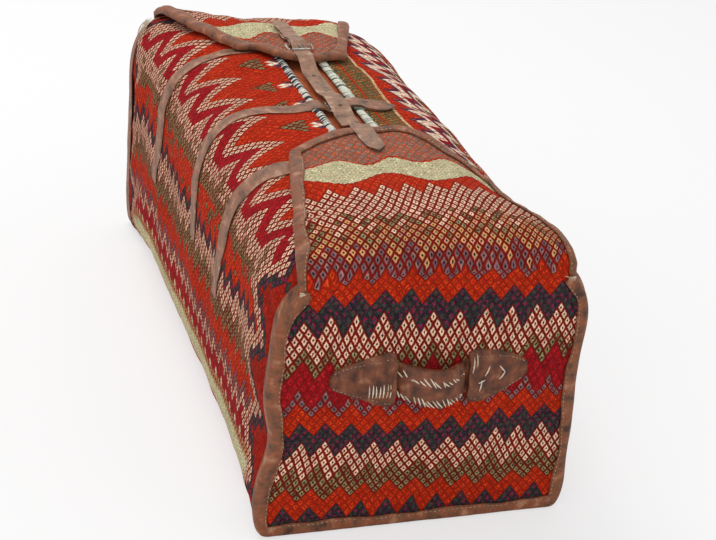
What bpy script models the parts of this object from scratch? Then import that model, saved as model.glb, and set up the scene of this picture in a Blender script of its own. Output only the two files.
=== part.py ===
"""A soft kilim holdall: one woven wrap with its mouth along the top, two end
panels that fold over as flaps, leather bindings, buckled straps and handles.

Bag coordinates, before the parent empty centres them: X runs across, Y runs
along the bag from the near end seam at 0 to the far end seam at LENGTH, and
Z is up from the base.  A place on the cloth is (across, y, lift): the length
of cloth from the crown line, the distance along, and the height above it.
"""

import math
from functools import lru_cache

import bmesh
import bpy
import numpy as np

# The stuffed cloth body
LENGTH = 0.780
CROWN_HEIGHT = 0.344
WIDEST_HEIGHT = 0.190
WIDE_LEFT = 0.184
WIDE_RIGHT = 0.174
BASE_CORNER = 0.050
END_BASE_CORNER = 0.022
LEFT_SQUARENESS = 3.9
RIGHT_SQUARENESS = 2.7
END_SQUARENESS = 4.3
BASE_SQUARENESS = 3.0
END_BASE_SQUARENESS = 6.0
END_REACH = 0.160
NEAR_PINCH = {"left": 0.0, "right": 0.006}
FAR_PINCH = {"left": 0.010, "right": 0.006}
END_RISE = 0.003
NEAR_DROP = 0.034
NEAR_ROUNDING = 0.060
NEAR_LEAD = 0.006
FAR_DROP = 0.050
FAR_ROUNDING = 0.190
END_BULGE = 0.015
CLOTH = 0.003
GAP = 0.0003
CORNER_WEIGHT = 0.12
HALF_COLUMNS = 27

# The mouth, its overcast edges and the cloth below it
MOUTH_START = 0.060
MOUTH_CENTRE = -0.012
MOUTH_WIDTH = 0.044
LIP_WIDTH = 0.008
LIP_THICKNESS = 0.0012
PLACKET_OVERLAP = 0.014
PLACKET_SAG = 0.002

# Flaps: the end panels carried on over the top
KINK_HEIGHT = 0.284
FLAP_LENGTH = 0.275
FLAP_ROUNDNESS = 1.9
FLAP_END_ANGLE = math.radians(40)
NEAR_CORNER = (-0.105, 0.232)
FAR_CORNER = (-0.045, 0.261)
FLAP_RISE = 0.008
EDGE_LIFT = {"near": 0.0, "far": 0.015}
EDGE_LIFT_ACROSS = (0.080, 0.190)
EDGE_LIFT_END = 0.170

# Leather bindings
BINDING_WIDTH = 0.013
BINDING_RETURN = 0.007
RETURN_STEPS = (0.25, 0.6, 1.0)
BINDING_THICKNESS = 0.0012
BINDING_GAP = 0.0009
KINK_GAP = 0.003

# Straps and buckles
LEATHER = 0.0016
STRAP_WIDTH = 0.027
CROSS_STRAPS = {"near": 0.205, "middle": 0.368, "far": LENGTH - 0.214}
STRAP_DROP = {"near": 0.184, "middle": 0.190, "far": 0.174}
CROSS_HEEL = -0.004
CROSS_TAIL = {"near": 0.042, "middle": 0.064, "far": 0.042}
TAB_SHORTFALL = 0.004
TIP_LENGTH = 0.014
BUCKLE_LENGTH = 0.018
BUCKLE_SIDE_PLAY = 0.0015
BUCKLE_CORNER = 0.0018
TAB_END = 0.4 * BUCKLE_LENGTH
TAB_BEND = 0.5 * BUCKLE_LENGTH
THREAD_DIP = 0.62 * BUCKLE_LENGTH
WIRE = 0.0028
PRONG_WIRE = 0.0020
PRONG_PLAY = 0.0002
LID_CENTRE = -0.012
LID_START = 0.205
LID_HEEL = LENGTH - 0.239
LID_TAIL = LENGTH - 0.140
LID_TAB = LENGTH - 0.174
LID_RAMP = 0.026
LID_TAB_RAMP = 0.028

# Handles
HANDLE_X = -0.010
HANDLE_HEIGHT = 0.192
HANDLE_SLOPE = 0.037
PAD_LENGTH = 0.072
PAD_INNER = 0.041
PAD_WIDTH = 0.062
GRIP_WIDTH = 0.044
GRIP_THICKNESS = 0.010
GRIP_REACH = 0.020
TONGUE = 0.022
TONGUE_THICKNESS = 0.003
ARCH_START = 0.003

# Worked out from the sizes above
LOOP_RADIUS = WIRE / 2 + GAP + LEATHER / 2
OVER_LOOP = LOOP_RADIUS + LEATHER + GAP
EYE_RADIUS = WIRE / 2 + PRONG_PLAY + PRONG_WIRE / 2
ON_CLOTH = GAP + LEATHER / 2
OVER_LIP = BINDING_GAP + LIP_THICKNESS + GAP + LEATHER / 2
BUCKLE_WIDTH = STRAP_WIDTH + WIRE + 2 * BUCKLE_SIDE_PLAY
OVER_STRAP = OVER_LIP + LEATHER / 2 + GAP + BINDING_THICKNESS + BINDING_GAP
OVER_BUCKLE = OVER_LOOP + LEATHER / 2 + GAP
FLAP_LIFT = max(OVER_STRAP, OVER_BUCKLE + GAP)
FLAP_EDGE_TOP = FLAP_LIFT + CLOTH + BINDING_GAP + BINDING_THICKNESS
MOUTH_LEFT = MOUTH_CENTRE - MOUTH_WIDTH / 2
MOUTH_RIGHT = MOUTH_CENTRE + MOUTH_WIDTH / 2

COLOURS = {
    "kilim": ((0.42, 0.07, 0.03), 0.95, 0.0),
    "end_kilim": ((0.34, 0.05, 0.04), 0.95, 0.0),
    "placket_cloth": ((0.45, 0.16, 0.06), 0.95, 0.0),
    "overcast_thread": ((0.45, 0.44, 0.38), 0.9, 0.0),
    "leather": ((0.19, 0.085, 0.05), 0.7, 0.0),
    "strap_leather": ((0.24, 0.12, 0.08), 0.65, 0.0),
    "buckle_steel": ((0.55, 0.54, 0.52), 0.4, 1.0),
}


def end_share(y):
    """1 at an end seam, falling to 0 where the end no longer shapes the body."""
    inwards = np.minimum(y, LENGTH - y)
    return np.clip(1 - inwards / END_REACH, 0, 1) ** 2


def crown_height(y):
    """The height of the crown line.  An ellipse rounds it down to the near seam;
    it starts NEAR_LEAD outside the seam, so it never stands upright.  A longer
    parabola takes it down to the far seam."""
    reach = NEAR_ROUNDING + NEAR_LEAD
    inwards = min((y + NEAR_LEAD) / reach, 1)
    rounded = math.sqrt(1 - (1 - inwards) ** 2)
    at_seam = math.sqrt(1 - (1 - NEAR_LEAD / reach) ** 2)
    far_share = max(1 - (LENGTH - y) / FAR_ROUNDING, 0)
    return CROWN_HEIGHT - NEAR_DROP * (1 - rounded) / (1 - at_seam) - FAR_DROP * far_share ** 2


def half_section(side, y):
    """One side of the section, from the crown round to the middle of the base."""
    share = end_share(y)
    wide, squareness = {"left": (WIDE_LEFT, LEFT_SQUARENESS), "right": (WIDE_RIGHT, RIGHT_SQUARENESS)}[side]
    wide = wide - (NEAR_PINCH if y < LENGTH / 2 else FAR_PINCH)[side] * share
    squareness = squareness + (END_SQUARENESS - squareness) * share
    base = END_RISE * share
    corner = BASE_CORNER + (END_BASE_CORNER - BASE_CORNER) * share
    base_squareness = BASE_SQUARENESS + (END_BASE_SQUARENESS - BASE_SQUARENESS) * share
    turn = np.linspace(0, math.pi / 2, 160)
    sine, cosine = np.sin(turn), np.clip(np.cos(turn), 0, 1)
    upper_x = wide * sine ** (2 / squareness)
    upper_z = WIDEST_HEIGHT + (crown_height(y) - WIDEST_HEIGHT) * cosine ** (2 / squareness)
    lower_x = wide - corner + corner * cosine ** (2 / base_squareness)
    lower_z = WIDEST_HEIGHT - (WIDEST_HEIGHT - base) * sine ** (2 / base_squareness)
    x = np.concatenate([upper_x, lower_x[1:], [0.0]])
    z = np.concatenate([upper_z, lower_z[1:], [base]])
    return x, z


@lru_cache(maxsize=None)
def section(y):
    """The whole section at y: crown, left side, base, right side, crown, with
    the length of cloth up to each point and up to the middle of the base."""
    left_x, left_z = half_section("left", y)
    right_x, right_z = half_section("right", y)
    x = np.concatenate([-left_x, right_x[-2::-1]])
    z = np.concatenate([left_z, right_z[-2::-1]])
    arc = np.concatenate([[0.0], np.cumsum(np.hypot(np.diff(x), np.diff(z)))])
    return x, z, arc, arc[len(left_x) - 1]


def section_place(across, y):
    """Where (across, y) lies on its section, as a number of section points."""
    across, y = np.broadcast_arrays(np.asarray(across, float), np.asarray(y, float))
    place = np.empty(across.shape)
    for value in np.unique(y):
        here = y == value
        arc = section(float(value))[2]
        place[here] = np.interp(np.mod(-across[here], arc[-1]), arc, np.arange(len(arc)))
    return place


def section_point(place, y):
    """The point of the section at y that lies at a number of section points."""
    place, y = np.broadcast_arrays(np.asarray(place, float), np.asarray(y, float))
    points = np.empty(place.shape + (3,))
    points[..., 1] = y
    for value in np.unique(y):
        here = y == value
        x, z, _, _ = section(float(value))
        count = np.arange(len(x))
        points[here, 0] = np.interp(place[here], count, x)
        points[here, 2] = np.interp(place[here], count, z)
    return points


def above_section(place, y, lift):
    """A section point raised along the cloth's outward normal."""
    step = 0.0005
    around = 0.5
    last = len(section(0.0)[0]) - 1
    sideways = (section_point(np.clip(place - around, 0, last), y)
                - section_point(np.clip(place + around, 0, last), y))
    before, after = np.clip(y - step, 0, LENGTH), np.clip(y + step, 0, LENGTH)
    along = section_point(place, after) - section_point(place, before)
    normal = np.cross(sideways, along)
    normal /= np.linalg.norm(normal, axis=-1, keepdims=True)
    return section_point(place, y) + normal * np.asarray(lift, float)[..., None]


def on_cloth(across, y, lift):
    """The point at a height above the wrap's outer face, along its normal."""
    return above_section(section_place(across, y), y, lift)


def at_end(end, across, inwards, lift):
    """on_cloth measured from one end: a half turn about Z serves the far end."""
    if end == "near":
        return on_cloth(across, inwards, lift)
    return on_cloth(-across, LENGTH - inwards, lift)


def panel_side(end, hand):
    """The seam on the panel's own left (-1) or right (1), from the crown down,
    as half-widths and heights."""
    side = "left" if (hand < 0) == (end == "near") else "right"
    return half_section(side, 0.0 if end == "near" else LENGTH)


def seam_half_width(end, hand, height):
    """The panel's half-width at a height, on its own left (-1) or right (1)."""
    x, z = panel_side(end, hand)
    return np.interp(height, z[::-1], x[::-1])


def panel_bulge(across, height):
    """How far the stuffed end stands out: a cushion over the seam outline."""
    sideways = np.clip(1 - (across / WIDE_LEFT) ** 2, 0, 1)
    top = CROWN_HEIGHT - NEAR_DROP
    upright = np.sin(np.pi * np.clip(height / top, 0, 1)) ** 2
    return END_BULGE * sideways * upright


def on_panel(end, across, height, lift):
    """A point on the end panel's face, at a height out from the seam plane."""
    out = panel_bulge(across, height) + lift
    if end == "near":
        return np.stack(np.broadcast_arrays(across, -out, height), axis=-1)
    return np.stack(np.broadcast_arrays(-across, LENGTH + out, height), axis=-1)


def seam_face(end, x, height, lift):
    """The same point for a place given by the bag's own X."""
    return on_panel(end, x if end == "near" else -x, height, lift)


def add_mesh(name, vertices, faces, colour, smooth=40):
    """One closed mesh object with outward faces and its own material."""
    mesh = bpy.data.meshes.new(name)
    mesh.from_pydata([tuple(v) for v in vertices], [], faces)
    shape = bmesh.new()
    shape.from_mesh(mesh)
    bmesh.ops.recalc_face_normals(shape, faces=shape.faces)
    shape.to_mesh(mesh)
    shape.free()
    mesh.shade_smooth()
    mesh.set_sharp_from_angle(angle=math.radians(smooth))
    thing = bpy.data.objects.new(name, mesh)
    bpy.context.collection.objects.link(thing)
    mesh.materials.append(make_material(name, *COLOURS[colour]))
    return thing


def make_material(name, colour, roughness, metallic):
    """A Principled material of its own for one piece."""
    material = bpy.data.materials.new(name)
    material.use_nodes = True
    shader = material.node_tree.nodes["Principled BSDF"]
    shader.inputs["Base Color"].default_value = (*colour, 1.0)
    shader.inputs["Roughness"].default_value = roughness
    shader.inputs["Metallic"].default_value = metallic
    return material


def add_sheet(name, upper, lower, colour, open_cells=()):
    """A sheet between two grids of points, with walls at its edges and around
    the cells that are left open."""
    rows, columns = upper.shape[:2]
    count = rows * columns
    vertices = np.concatenate([upper.reshape(-1, 3), lower.reshape(-1, 3)])
    cells = {(i, j) for i in range(rows - 1) for j in range(columns - 1)} - set(open_cells)
    faces = []
    for i, j in sorted(cells):
        a, b = i * columns + j, i * columns + j + 1
        c, d = b + columns, a + columns
        faces.append((a, b, c, d))
        faces.append((d + count, c + count, b + count, a + count))
        for (p, q), beside in (((b, a), (i - 1, j)), ((c, b), (i, j + 1)),
                               ((d, c), (i + 1, j)), ((a, d), (i, j - 1))):
            if beside not in cells:
                faces.append((p, q, q + count, p + count))
    used = sorted({v for face in faces for v in face})
    index = {v: k for k, v in enumerate(used)}
    faces = [tuple(index[v] for v in face) for face in faces]
    return add_mesh(name, vertices[used], faces, colour)


def add_loft(name, rings, colour, closed=False):
    """A skin over rings of points; the first and last are capped if open."""
    count, around = rings.shape[:2]
    faces = []
    for i in range(count if closed else count - 1):
        for j in range(around):
            k = (j + 1) % around
            a, b = i * around, (i + 1) % count * around
            faces.append((a + j, a + k, b + k, b + j))
    if not closed:
        faces.append(tuple(range(around)))
        faces.append(tuple(range((count - 1) * around, count * around)))
    return add_mesh(name, rings.reshape(-1, 3), faces, colour)


def add_band(name, place, path, half_width, thickness, colour, slot=None):
    """A strap: path is its middle line as (along, height) pairs, place turns
    (along, sideways, height) into a point, and slot is a range along the path
    where a prong's opening is cut."""
    path = np.asarray(path, float)
    step = np.gradient(path, axis=0)
    step /= np.linalg.norm(step, axis=1, keepdims=True)
    normal = np.stack([-step[:, 1], step[:, 0]], axis=1) * thickness / 2
    half_width = np.broadcast_to(half_width, len(path))
    slot_half = PRONG_WIRE / 2 + 2 * GAP
    inner = np.minimum(slot_half, half_width * 0.4)
    sideways = np.stack([-half_width, -inner, inner, half_width], axis=1)
    grids = []
    for edge in (path + normal, path - normal):
        grids.append(place(edge[:, :1], sideways, edge[:, 1:]))
    cells = []
    if slot:
        cells = [(i, 1) for i in range(slot[0], slot[1])]
    return add_sheet(name, grids[0], grids[1], colour, cells)


def add_wire(name, points, across, radius, colour, closed=False, sides=6):
    """A round wire along points that bends in the plane square to across."""
    points = np.asarray(points, float)
    if closed:
        step = np.roll(points, -1, axis=0) - np.roll(points, 1, axis=0)
    else:
        step = np.gradient(points, axis=0)
    step /= np.linalg.norm(step, axis=1, keepdims=True)
    across = np.broadcast_to(across, points.shape)
    side = np.cross(step, across)
    side /= np.linalg.norm(side, axis=1, keepdims=True)
    turn = np.linspace(0, 2 * math.pi, sides, endpoint=False)[None, :, None]
    rings = points[:, None] + radius * (np.cos(turn) * side[:, None] + np.sin(turn) * across[:, None])
    return add_loft(name, rings, colour, closed)


def inwards_normals(outline):
    """Unit vectors square to an open outline of pairs, to the left of its run,
    lengthened at corners so that an inset keeps its width."""
    step = np.diff(outline, axis=0)
    step /= np.linalg.norm(step, axis=1, keepdims=True)
    left = np.stack([-step[:, 1], step[:, 0]], axis=1)
    before = np.vstack([left[:1], left])
    after = np.vstack([left, left[-1:]])
    middle = before + after
    return 2 * middle / np.sum(middle * middle, axis=1, keepdims=True)


def corner_places():
    """Section points for the wrap's columns, closer together at the corners and
    the same on both sides, so that every section's corners line up."""
    x, z = half_section("left", 0.0)
    step_x, step_z = np.diff(x), np.diff(z)
    arc = np.concatenate([[0.0], np.cumsum(np.hypot(step_x, step_z))])
    heading = np.unwrap(np.arctan2(step_z, step_x))
    turning = np.concatenate([[0.0], np.cumsum(np.abs(np.diff(heading))), [0.0]])
    turning[-1] = turning[-2]
    weight = arc + CORNER_WEIGHT * turning
    left = np.interp(np.linspace(0, weight[-1], HALF_COLUMNS), weight, np.arange(len(x)))
    return np.concatenate([left, 2 * (len(x) - 1) - left[-2::-1]])


def cloth_stations():
    """Distances along the bag, closer together where the crown curves down."""
    hem = BINDING_RETURN * np.array((0.0,) + RETURN_STEPS)
    near = NEAR_ROUNDING * np.array([0.23, 0.4, 0.7, 1.0, 1.4, 1.8])
    far = FAR_ROUNDING * np.array([0.1, 0.2, 0.315, 0.45, 0.6, 0.75, 0.9, 1.05])
    middle = np.linspace(near[-1], LENGTH - far[-1], 7)[1:-1]
    return np.concatenate([hem, near, middle, LENGTH - far[::-1], LENGTH - hem[::-1]])


def mouth_stations():
    """The same distances between the two ends of the mouth."""
    return np.unique(np.clip(cloth_stations(), MOUTH_START, LENGTH - MOUTH_START))


def make_wrap():
    """The woven wrap: up from the left lip, round the base, to the right lip."""
    y = cloth_stations()
    lips = [section_place(across, y) for across in
            (MOUTH_LEFT, MOUTH_LEFT - LIP_WIDTH, MOUTH_RIGHT + LIP_WIDTH, MOUTH_RIGHT)]
    places = corner_places()
    clear = places[(places > lips[1].max() + 1) & (places < lips[2].min() - 1)]
    inner = np.broadcast_to(clear, (len(y), len(clear)))
    place = np.column_stack(lips[:2] + [inner] + lips[2:])
    y = np.repeat(y[:, None], place.shape[1], axis=1)
    inside = above_section(place, y, np.full_like(y, -CLOTH))
    inside[0, :, 1], inside[-1, :, 1] = 0.0, LENGTH
    add_sheet("body_wrap", above_section(place, y, np.zeros_like(y)), inside, "kilim")


def make_lip(name, edge, hand):
    """Overcast thread round one free edge of the mouth, as a folded channel."""
    y = mouth_stations()[:, None]
    near, far = BINDING_GAP, BINDING_GAP + LIP_THICKNESS
    across = edge + hand * np.array([LIP_WIDTH, LIP_WIDTH, -far, -far, LIP_WIDTH, LIP_WIDTH, -near, -near])
    lift = np.array([near, far, far, -CLOTH - far, -CLOTH - far, -CLOTH - near, -CLOTH - near, near])
    y, across, lift = np.broadcast_arrays(y, across, lift)
    add_loft(name, on_cloth(across, y, lift), "overcast_thread")


def make_placket():
    """The strip of cloth that closes the mouth from below."""
    across = np.linspace(MOUTH_LEFT - PLACKET_OVERLAP, MOUTH_RIGHT + PLACKET_OVERLAP, 7)
    y = mouth_stations()[:, None]
    share = np.clip((across - MOUTH_LEFT) / MOUTH_WIDTH, 0, 1)
    upper = -CLOTH - BINDING_GAP - LIP_THICKNESS - GAP - PLACKET_SAG * np.sin(np.pi * share)
    across, y, upper = np.broadcast_arrays(across, y, upper)
    add_sheet("mouth_placket", on_cloth(across, y, upper), on_cloth(across, y, upper - CLOTH),
              "placket_cloth")


def kink_reach(end, hand):
    """The length of cloth from the crown to the kink at the end seam."""
    x, z = panel_side(end, hand)
    arc = np.concatenate([[0.0], np.cumsum(np.hypot(np.diff(x), np.diff(z)))])
    return float(np.interp(-KINK_HEIGHT, -z, arc))


def flap_outline(end, corner, columns, rows):
    """The flap's four edges as (across, inwards): seam, left, free and right."""
    left, right = -kink_reach(end, -1), kink_reach(end, 1)
    power = 2 / FLAP_ROUNDNESS
    seam = np.stack([left + (right - left) * columns, 0 * columns], axis=1)
    side_left = np.array([left, 0.0]) * (1 - rows[:, None]) + np.array(corner) * rows[:, None]
    turn = FLAP_END_ANGLE * rows
    side_right = np.stack([right * np.cos(turn) ** power, FLAP_LENGTH * np.sin(turn) ** power], axis=1)
    middle = -left / (right - left)
    left_share = np.clip(columns / middle, 0, 1)
    turn = math.pi / 2 - (math.pi / 2 - FLAP_END_ANGLE) * np.clip((columns - middle) / (1 - middle), 0, 1)
    free_left = np.stack([corner[0] * (1 - left_share),
                          corner[1] + (FLAP_LENGTH - corner[1]) * np.sin(left_share * math.pi / 2)], axis=1)
    free_right = np.stack([right * np.clip(np.cos(turn), 0, 1) ** power,
                           FLAP_LENGTH * np.sin(turn) ** power], axis=1)
    free = np.where(columns[:, None] < middle, free_left, free_right)
    return seam, side_left, free, side_right


def flap_plan(end, corner):
    """The flap's grid as (across, inwards), blended from its four edges."""
    inset = BINDING_WIDTH * 1.15 / (kink_reach(end, -1) + kink_reach(end, 1))
    columns = np.concatenate([[0], np.linspace(inset, 1 - inset, 19), [1]])
    inset = BINDING_WIDTH * 1.15 / FLAP_LENGTH
    start = FLAP_RISE / FLAP_LENGTH
    rows = np.concatenate([[0, start / 2, start, 0.065, 0.11, 0.17], np.linspace(0.25, 1 - inset, 7), [1]])
    seam, left, free, right = flap_outline(end, corner, columns, rows)
    u, v = columns[None, :, None], rows[:, None, None]
    ruled = (1 - v) * seam[None] + v * free[None] + (1 - u) * left[:, None] + u * right[:, None]
    corners = ((1 - u) * (1 - v) * seam[0] + u * (1 - v) * seam[-1]
               + (1 - u) * v * free[0] + u * v * free[-1])
    return ruled - corners, columns, rows


def seam_heights(end):
    """Heights for the panel's rows, from the base to the kink: those of the
    wrap's columns, so that panel, wrap and binding bend at the same places."""
    z = panel_side(end, -1)[1]
    places = corner_places()[HALF_COLUMNS - 1::-1]
    heights = np.interp(places, np.arange(len(z)), z)
    below = heights[(heights > END_RISE + GAP) & (heights < KINK_HEIGHT - KINK_GAP)]
    return np.concatenate([[END_RISE], below, [KINK_HEIGHT]])


def flap_lift(end, across, inwards):
    """The height of the flap's underside: from the end panel's face up to
    where it clears the buckled straps below it.  The far flap's own right edge
    stands off the shoulder."""
    start = np.clip(inwards / FLAP_RISE, 0, 1)
    low, high = EDGE_LIFT_ACROSS
    sideways = np.clip((across - low) / (high - low), 0, 1)
    along = np.sin(np.pi * np.clip(inwards / EDGE_LIFT_END, 0, 1))
    return GAP + (FLAP_LIFT - GAP) * start + EDGE_LIFT[end] * sideways ** 2 * along ** 2


def make_end_panel(end, corner):
    """An end panel: up the end face, over its top edge, and on as the flap."""
    plan, columns, rows = flap_plan(end, corner)
    left, right = -kink_reach(end, -1), kink_reach(end, 1)
    kink_left = -seam_half_width(end, -1, KINK_HEIGHT)
    kink_right = seam_half_width(end, 1, KINK_HEIGHT)
    reach = left + (right - left) * columns
    seam_points = at_end(end, reach, np.zeros_like(reach), np.zeros_like(reach))
    seam_x = seam_points[:, 0] if end == "near" else -seam_points[:, 0]
    top = seam_points[:, 2]
    height = seam_heights(end)
    width_left = -seam_half_width(end, -1, height)
    width_right = seam_half_width(end, 1, height)
    share = (seam_x - kink_left) / (kink_right - kink_left)
    across = width_left[:, None] + (width_right - width_left)[:, None] * share
    levels = (height - END_RISE) / (KINK_HEIGHT - END_RISE)
    heights = END_RISE + levels[:, None] * (top - END_RISE)
    flap_across, inwards = plan[1:, :, 0], plan[1:, :, 1]
    lift = flap_lift(end, flap_across, inwards)
    grids = []
    for out in (CLOTH, 0.0):
        face = on_panel(end, across, heights, GAP + out)
        flap = at_end(end, flap_across, inwards, lift + out)
        grids.append(np.concatenate([face, flap]))
    add_sheet(end + "_end_panel", grids[0], grids[1], "end_kilim")


def make_panel_binding(end):
    """The folded leather strip over the seam: left side, base and right side."""
    seam = 0.0 if end == "near" else LENGTH
    inside = BINDING_RETURN if end == "near" else LENGTH - BINDING_RETURN
    x, z, arc, _ = section(seam)
    base = len(x) // 2
    start = np.interp(-KINK_HEIGHT + KINK_GAP, -z[:base], arc[:base])
    stop = np.interp(KINK_HEIGHT - KINK_GAP, z[base:], arc[base:])
    ends = np.interp([start, stop], arc, np.arange(len(arc)))
    places = corner_places()
    inner = places[(places > ends[0] + 1) & (places < ends[1] - 1)]
    place = np.concatenate([ends[:1], inner, ends[1:]])
    outline = section_point(place, seam)[:, ::2]
    inwards = inwards_normals(outline)
    near, far = BINDING_GAP, BINDING_GAP + BINDING_THICKNESS

    def on_face(inset, out):
        spot = outline + inwards * inset
        return seam_face(end, spot[:, 0], spot[:, 1], GAP + CLOTH + out)

    def on_side(share, lift):
        y = np.full(len(place), seam + (inside - seam) * share)
        return above_section(place, y, np.full(len(place), lift))

    rings = [on_face(BINDING_WIDTH, near), on_face(BINDING_WIDTH, far), on_face(-far, far)]
    rings += [on_side(share, far) for share in RETURN_STEPS]
    rings += [on_side(share, near) for share in RETURN_STEPS[::-1]]
    rings.append(on_face(-near, near))
    add_loft(end + "_panel_binding", np.stack(rings, axis=1), "leather")


def make_flap_binding(end, corner):
    """The folded leather strip round the flap's free edges."""
    plan, columns, rows = flap_plan(end, corner)
    first = 3
    outline = np.concatenate([plan[first:, -1], plan[-1, -2::-1], plan[-2:first - 1:-1, 0]])
    inwards = inwards_normals(outline)
    near, far = BINDING_GAP, BINDING_GAP + BINDING_THICKNESS
    sections = ((BINDING_WIDTH, CLOTH + near), (BINDING_WIDTH, CLOTH + far), (-far, CLOTH + far),
                (-far, -far), (BINDING_WIDTH, -far), (BINDING_WIDTH, -near), (-near, -near),
                (-near, CLOTH + near))
    rings = []
    for inset, out in sections:
        spot = outline + inwards * inset
        lift = flap_lift(end, spot[:, 0], spot[:, 1]) + out
        rings.append(at_end(end, spot[:, 0], spot[:, 1], lift))
    add_loft(end + "_flap_binding", np.stack(rings, axis=1), "leather")


def arc_points(centre, radius, start, stop, count):
    """Points (along, height) on an arc, by angle in degrees."""
    turn = np.radians(np.linspace(start, stop, count))
    return [(centre[0] + radius * math.cos(t), centre[1] + radius * math.sin(t)) for t in turn]


def make_buckle(name, place, heel, height):
    """A rectangular wire frame; its heel bar lies at (heel, height)."""
    corner = BUCKLE_CORNER
    half = BUCKLE_WIDTH / 2
    front = heel - BUCKLE_LENGTH
    points = []
    for along, side, start in ((heel, half, 0), (front, half, 90), (front, -half, 180), (heel, -half, 270)):
        centre = (along - math.copysign(corner, along - (heel + front) / 2), side - math.copysign(corner, side))
        points += arc_points(centre, corner, start, start + 90, 4)
    points = np.array(points)
    ring = place(points[:, 0], points[:, 1], np.full(len(points), height))
    normal = place(points[:, 0], points[:, 1], np.full(len(points), height + 0.01)) - ring
    normal /= np.linalg.norm(normal, axis=1, keepdims=True)
    return add_wire(name, ring, normal, WIRE / 2, "buckle_steel", closed=True)


def make_prong(name, place, heel, height):
    """The prong: a straight shank that lies on the front bar and curls once
    round the heel bar."""
    tip = heel - BUCKLE_LENGTH - WIRE
    level = height + EYE_RADIUS
    path = [(tip, level), (heel - BUCKLE_LENGTH, level), (heel - BUCKLE_LENGTH / 2, level)]
    path += arc_points((heel, height), EYE_RADIUS, 90, -165, 13)
    path = np.array(path)
    nothing = np.zeros(len(path))
    points = place(path[:, 0], nothing, path[:, 1])
    beside = place(path[:, 0], nothing + 0.01, path[:, 1]) - points
    beside /= np.linalg.norm(beside, axis=1, keepdims=True)
    prong = add_wire(name, points, beside, PRONG_WIRE / 2, "buckle_steel")
    origin = place(np.array(heel), np.array(0.0), np.array(height))
    for vertex in prong.data.vertices:
        vertex.co = [a - b for a, b in zip(vertex.co, origin)]
    prong.location = origin
    return prong


def threaded(heel, height):
    """The part of a strap's middle line that passes through its buckle."""
    front = heel - BUCKLE_LENGTH
    return [(front - WIRE / 2, height - LOOP_RADIUS), (front + WIRE / 2, height - LOOP_RADIUS),
            (heel - THREAD_DIP, height),
            (heel - WIRE, height + OVER_LOOP), (heel, height + OVER_LOOP),
            (heel + 2 * PRONG_WIRE + GAP, height + OVER_LOOP)]


def pointed(path, half_width, ends=(True, True)):
    """Half-widths along a strap that narrows to a point at chosen ends."""
    path = np.asarray(path, float)
    along = np.concatenate([[0], np.cumsum(np.linalg.norm(np.diff(path, axis=0), axis=1))])
    left = along if ends[0] else along + TIP_LENGTH
    right = along[-1] - along if ends[1] else along[-1] - along + TIP_LENGTH
    share = np.clip(np.minimum(left, right) / TIP_LENGTH, 0, 1)
    return half_width * (0.18 + 0.82 * share)


def make_cross_strap(which):
    """A short strap over the left shoulder, buckled above the mouth."""
    y = CROSS_STRAPS[which]

    def place(along, sideways, lift):
        along, sideways, lift = np.broadcast_arrays(along, sideways, lift)
        return on_cloth(along, y + sideways, lift)

    shoulder = -float(np.interp(-STRAP_DROP[which], -section(y)[1][:200], section(y)[2][:200]))
    climb = MOUTH_LEFT - LIP_WIDTH - 3 * LEATHER
    path = [(a, ON_CLOTH) for a in np.linspace(shoulder, climb, 26)]
    path += [(MOUTH_LEFT - LIP_WIDTH - GAP, OVER_LIP), (MOUTH_LEFT + 2 * LIP_THICKNESS, OVER_LIP)]
    path += threaded(CROSS_HEEL, 0.0)
    slot = (len(path) - 4, len(path) - 1)
    tab_level = OVER_LIP + LEATHER + GAP
    path += [(MOUTH_RIGHT - 3 * LIP_THICKNESS, tab_level), (MOUTH_RIGHT + LIP_WIDTH + GAP, tab_level)]
    low = ON_CLOTH + LEATHER + GAP
    path += [(MOUTH_RIGHT + LIP_WIDTH + 3 * LEATHER, low)]
    tail = CROSS_TAIL[which]
    path += [(tail - TIP_LENGTH, low), (tail, low)]
    half = STRAP_WIDTH / 2
    add_band(which + "_cross_strap", place, path, pointed(path, half, (False, True)), LEATHER,
             "strap_leather", slot)
    sewn = tail - TAB_SHORTFALL
    tab = [(sewn, ON_CLOTH), (sewn - TIP_LENGTH, ON_CLOTH),
           (MOUTH_RIGHT + LIP_WIDTH + 3 * LEATHER, ON_CLOTH), (MOUTH_RIGHT + LIP_WIDTH + GAP, OVER_LIP),
           (MOUTH_RIGHT - 2 * LIP_THICKNESS, OVER_LIP), (CROSS_HEEL + TAB_BEND, LOOP_RADIUS)]
    start = len(tab)
    tab += arc_points((CROSS_HEEL, 0.0), LOOP_RADIUS, 90, 270, 9)
    tab += [(CROSS_HEEL + TAB_BEND / 2, -LOOP_RADIUS), (CROSS_HEEL + TAB_END, -LOOP_RADIUS)]
    add_band(which + "_cross_tab", place, tab, pointed(tab, half, (True, False)), LEATHER,
             "strap_leather", (start - 1, len(tab) - 2))
    make_buckle(which + "_cross_buckle", place, CROSS_HEEL, 0.0)
    make_prong(which + "_cross_prong", place, CROSS_HEEL, 0.0)


def lid_seats():
    """What the lid strap lies on, as (from, to, height) along the bag."""
    half = STRAP_WIDTH / 2 + 2 * GAP
    margin = 2 * BINDING_THICKNESS
    return ((0.0, FLAP_LENGTH + margin, FLAP_EDGE_TOP),
            (CROSS_STRAPS["middle"] - half, CROSS_STRAPS["middle"] + half, OVER_BUCKLE),
            (LENGTH - FLAP_LENGTH - margin, LENGTH, FLAP_EDGE_TOP))


def lid_seat(along):
    """The height of what the lid strap lies on, with ramps between."""
    height = np.zeros_like(along)
    for low, high, seat in lid_seats():
        away = np.maximum(np.maximum(low - along, along - high), 0)
        height = np.maximum(height, seat * np.clip(1 - away / LID_RAMP, 0, 1))
    return height


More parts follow.
